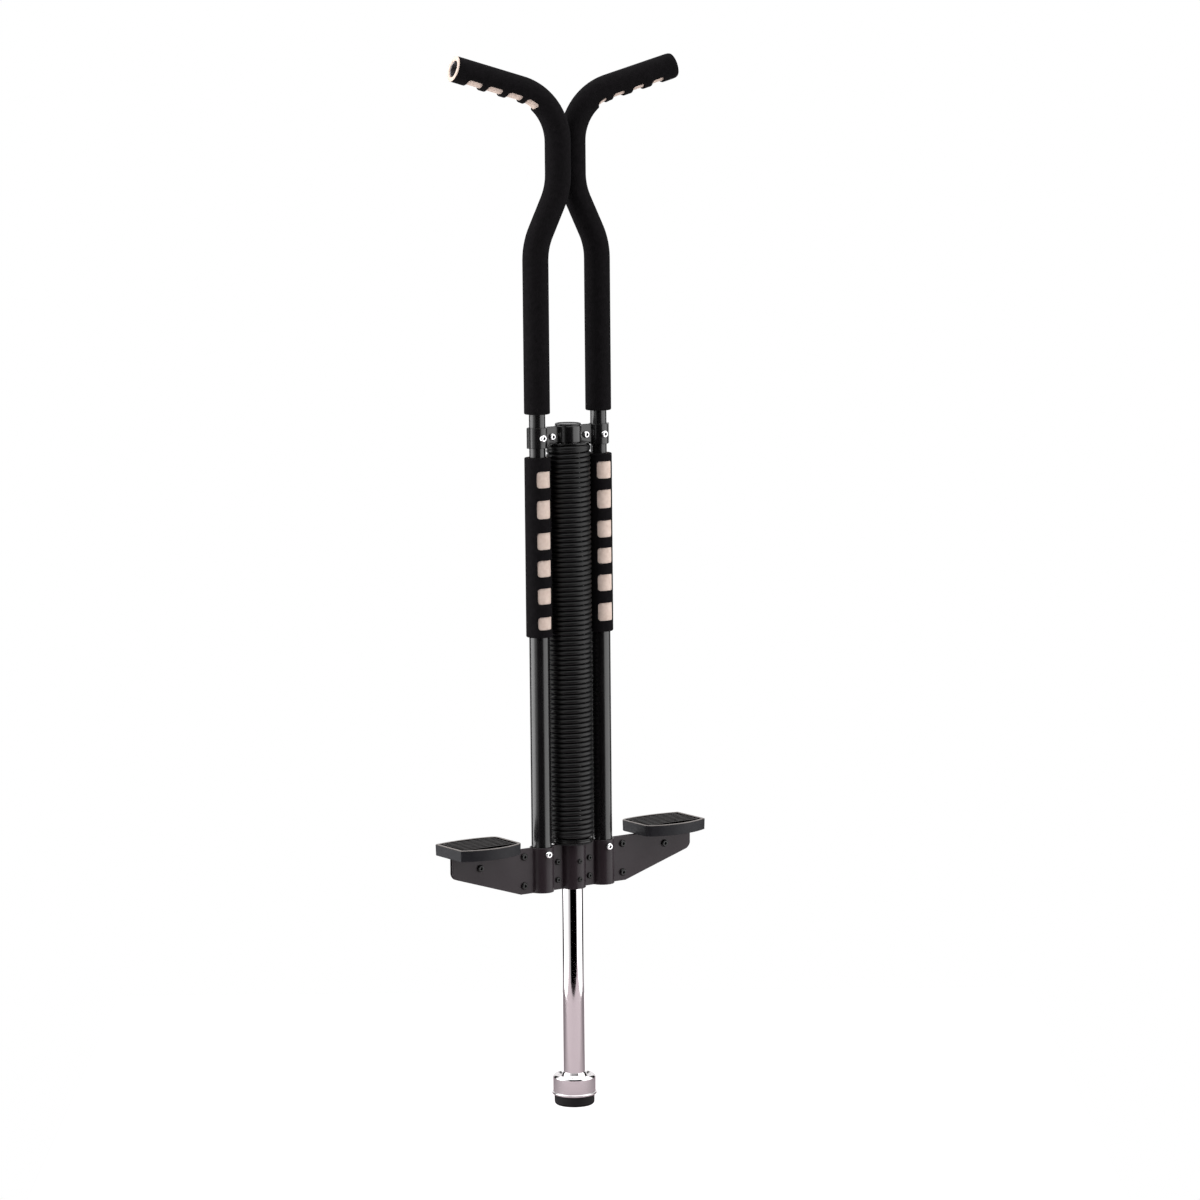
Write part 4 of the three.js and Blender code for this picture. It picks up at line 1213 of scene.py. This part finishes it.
CAMERA_AZIMUTH = math.radians(-34.38)
CAMERA_ELEVATION = math.radians(7.59)
CAMERA_DISTANCE = 4.379
CAMERA_ROLL = math.radians(-0.57)
CAMERA_TARGET = Vector((0, 0, 0.5023))
CAMERA_LENS = 134.76
CAMERA_SHIFT = 0.0253


def build_camera():
    a, e = CAMERA_AZIMUTH, CAMERA_ELEVATION
    back = Vector((math.sin(a) * math.cos(e), -math.cos(a) * math.cos(e), math.sin(e)))
    camera = bpy.data.objects.new("camera", bpy.data.cameras.new("camera"))
    bpy.context.scene.collection.objects.link(camera)
    camera.data.lens = CAMERA_LENS
    camera.data.shift_x = CAMERA_SHIFT
    aim = (-back).to_track_quat("-Z", "Y").to_matrix().to_4x4()
    roll = Matrix.Rotation(CAMERA_ROLL, 4, "Z")
    camera.matrix_world = Matrix.Translation(CAMERA_TARGET + back * CAMERA_DISTANCE) @ aim @ roll
    bpy.context.scene.camera = camera


FLOOR_HALF = 500
FLOOR_NEAR = (0.45, 0.39, 0.41)
# painted shade: the darker floor colour behind the stick, which the chrome reflects at its sides
FLOOR_FAR_SHADE = (0.17, 0.145, 0.155)
FLOOR_GLOW = 0.95


def build_floor():
    """A square of pale paper that faces the camera. Its colour is painted darker behind the stick, a
    painted shade that the chrome reflects at its sides; camera rays see it glow white.
    """
    towards, rightwards = camera_axes()
    corners = []
    for along, across in ((1, -1), (1, 1), (-1, 1), (-1, -1)):
        corners.append((towards * along + rightwards * across) * FLOOR_HALF * MM)
    mesh = bpy.data.meshes.new("floor")
    mesh.from_pydata(corners, [], [(0, 1, 2, 3)])
    material, shader, tree, place = new_material("pale_floor", FLOOR_NEAR, 0.9, specular=0.1)
    # painted shade: the floor's colour darkens from the near colour to the far one behind the stick
    painted_shade_blend = remap(tree, dot(tree, place, towards), 0, 1, -0.12, 0.12)
    mix_colors(tree, shader, painted_shade_blend, FLOOR_FAR_SHADE, FLOOR_NEAR)
    rays = add_node(tree, "LightPath")
    glow = remap(tree, rays.outputs["Is Camera Ray"], 0, FLOOR_GLOW, 0, 1)
    shader.inputs["Emission Color"].default_value = (1, 1, 1, 1)
    tree.links.new(glow, shader.inputs["Emission Strength"])
    mesh.materials.append(material)
    floor = bpy.data.objects.new("floor", mesh)
    bpy.context.scene.collection.objects.link(floor)


def camera_axes():
    """Level directions from the stick towards the camera and to the camera's right."""
    a = CAMERA_AZIMUTH
    return Vector((math.sin(a), -math.cos(a), 0)), Vector((math.cos(a), math.sin(a), 0))


def dot(tree, place, direction):
    node = add_node(tree, "VectorMath", {1: direction}, {0: place}, operation="DOT_PRODUCT")
    return node.outputs["Value"]


# Light round the stick, as (degrees to the camera's right, brightness as a share of the brightest)
AROUND = [
    (-180, 0.25), (-152, 0.25), (-146, 0), (-116, 0), (-108, 1), (-66, 1), (-56, 0.3), (-30, 0.12),
    (-26, 0), (40, 0), (50, 0.55), (110, 0.55), (118, 0), (146, 0), (152, 0.25), (180, 0.25),
]
AROUND_TOP = 38  # degrees up to which the softboxes reach
OVERHEAD = 0.5
BRIGHTEST = 4


def build_studio():
    """Softboxes left and right of the camera, black cards beside them and a soft light overhead.

    Camera rays see plain white.
    """
    world = bpy.data.worlds.new("studio")
    bpy.context.scene.world = world
    world.use_nodes = True
    tree = world.node_tree
    tree.nodes.clear()
    place = add_node(tree, "TexCoord").outputs["Generated"]
    towards, rightwards = camera_axes()
    sides = {0: dot(tree, place, rightwards), 1: dot(tree, place, towards)}
    azimuth = add_node(tree, "Math", links=sides, operation="ARCTAN2").outputs["Value"]
    turn = remap(tree, azimuth, 0, 1, -math.pi, math.pi)
    ramp = add_node(tree, "ValToRGB", links={"Fac": turn})
    elements = ramp.color_ramp.elements
    while len(elements) < len(AROUND):
        elements.new(0.5)
    for element, (degrees, level) in zip(elements, AROUND):
        element.position = (degrees + 180) / 360
        element.color = (level, level, level, 1)
    rise = dot(tree, place, Vector((0, 0, 1)))
    low_edge = math.sin(math.radians(AROUND_TOP))
    overhead = remap(tree, rise, 0, 1, low_edge, low_edge + 0.12)
    grey = (OVERHEAD, OVERHEAD, OVERHEAD, 1)
    blended = {"Factor": overhead, "A": ramp.outputs["Color"]}
    mixed = add_node(tree, "Mix", {"B": grey}, blended, data_type="RGBA")
    lit = add_node(tree, "Background", {"Strength": BRIGHTEST}, {"Color": mixed.outputs["Result"]})
    seen = add_node(tree, "Background", {"Color": (1, 1, 1, 1)})
    rays = add_node(tree, "LightPath")
    blend = add_node(tree, "MixShader", links={
        "Fac": rays.outputs["Is Camera Ray"], 1: lit.outputs["Background"],
        2: seen.outputs["Background"],
    })
    add_node(tree, "OutputWorld", links={"Surface": blend.outputs["Shader"]})
    bpy.context.scene.view_settings.view_transform = "Standard"


build_upper_foam()
build_handle_layers()
build_side_tubes()
build_collar()
build_bracket()
build_fasteners()
build_pedals()
build_leg()
build_foot()
build_spring_seat()
build_spring()
build_camera()
build_floor()
build_studio()
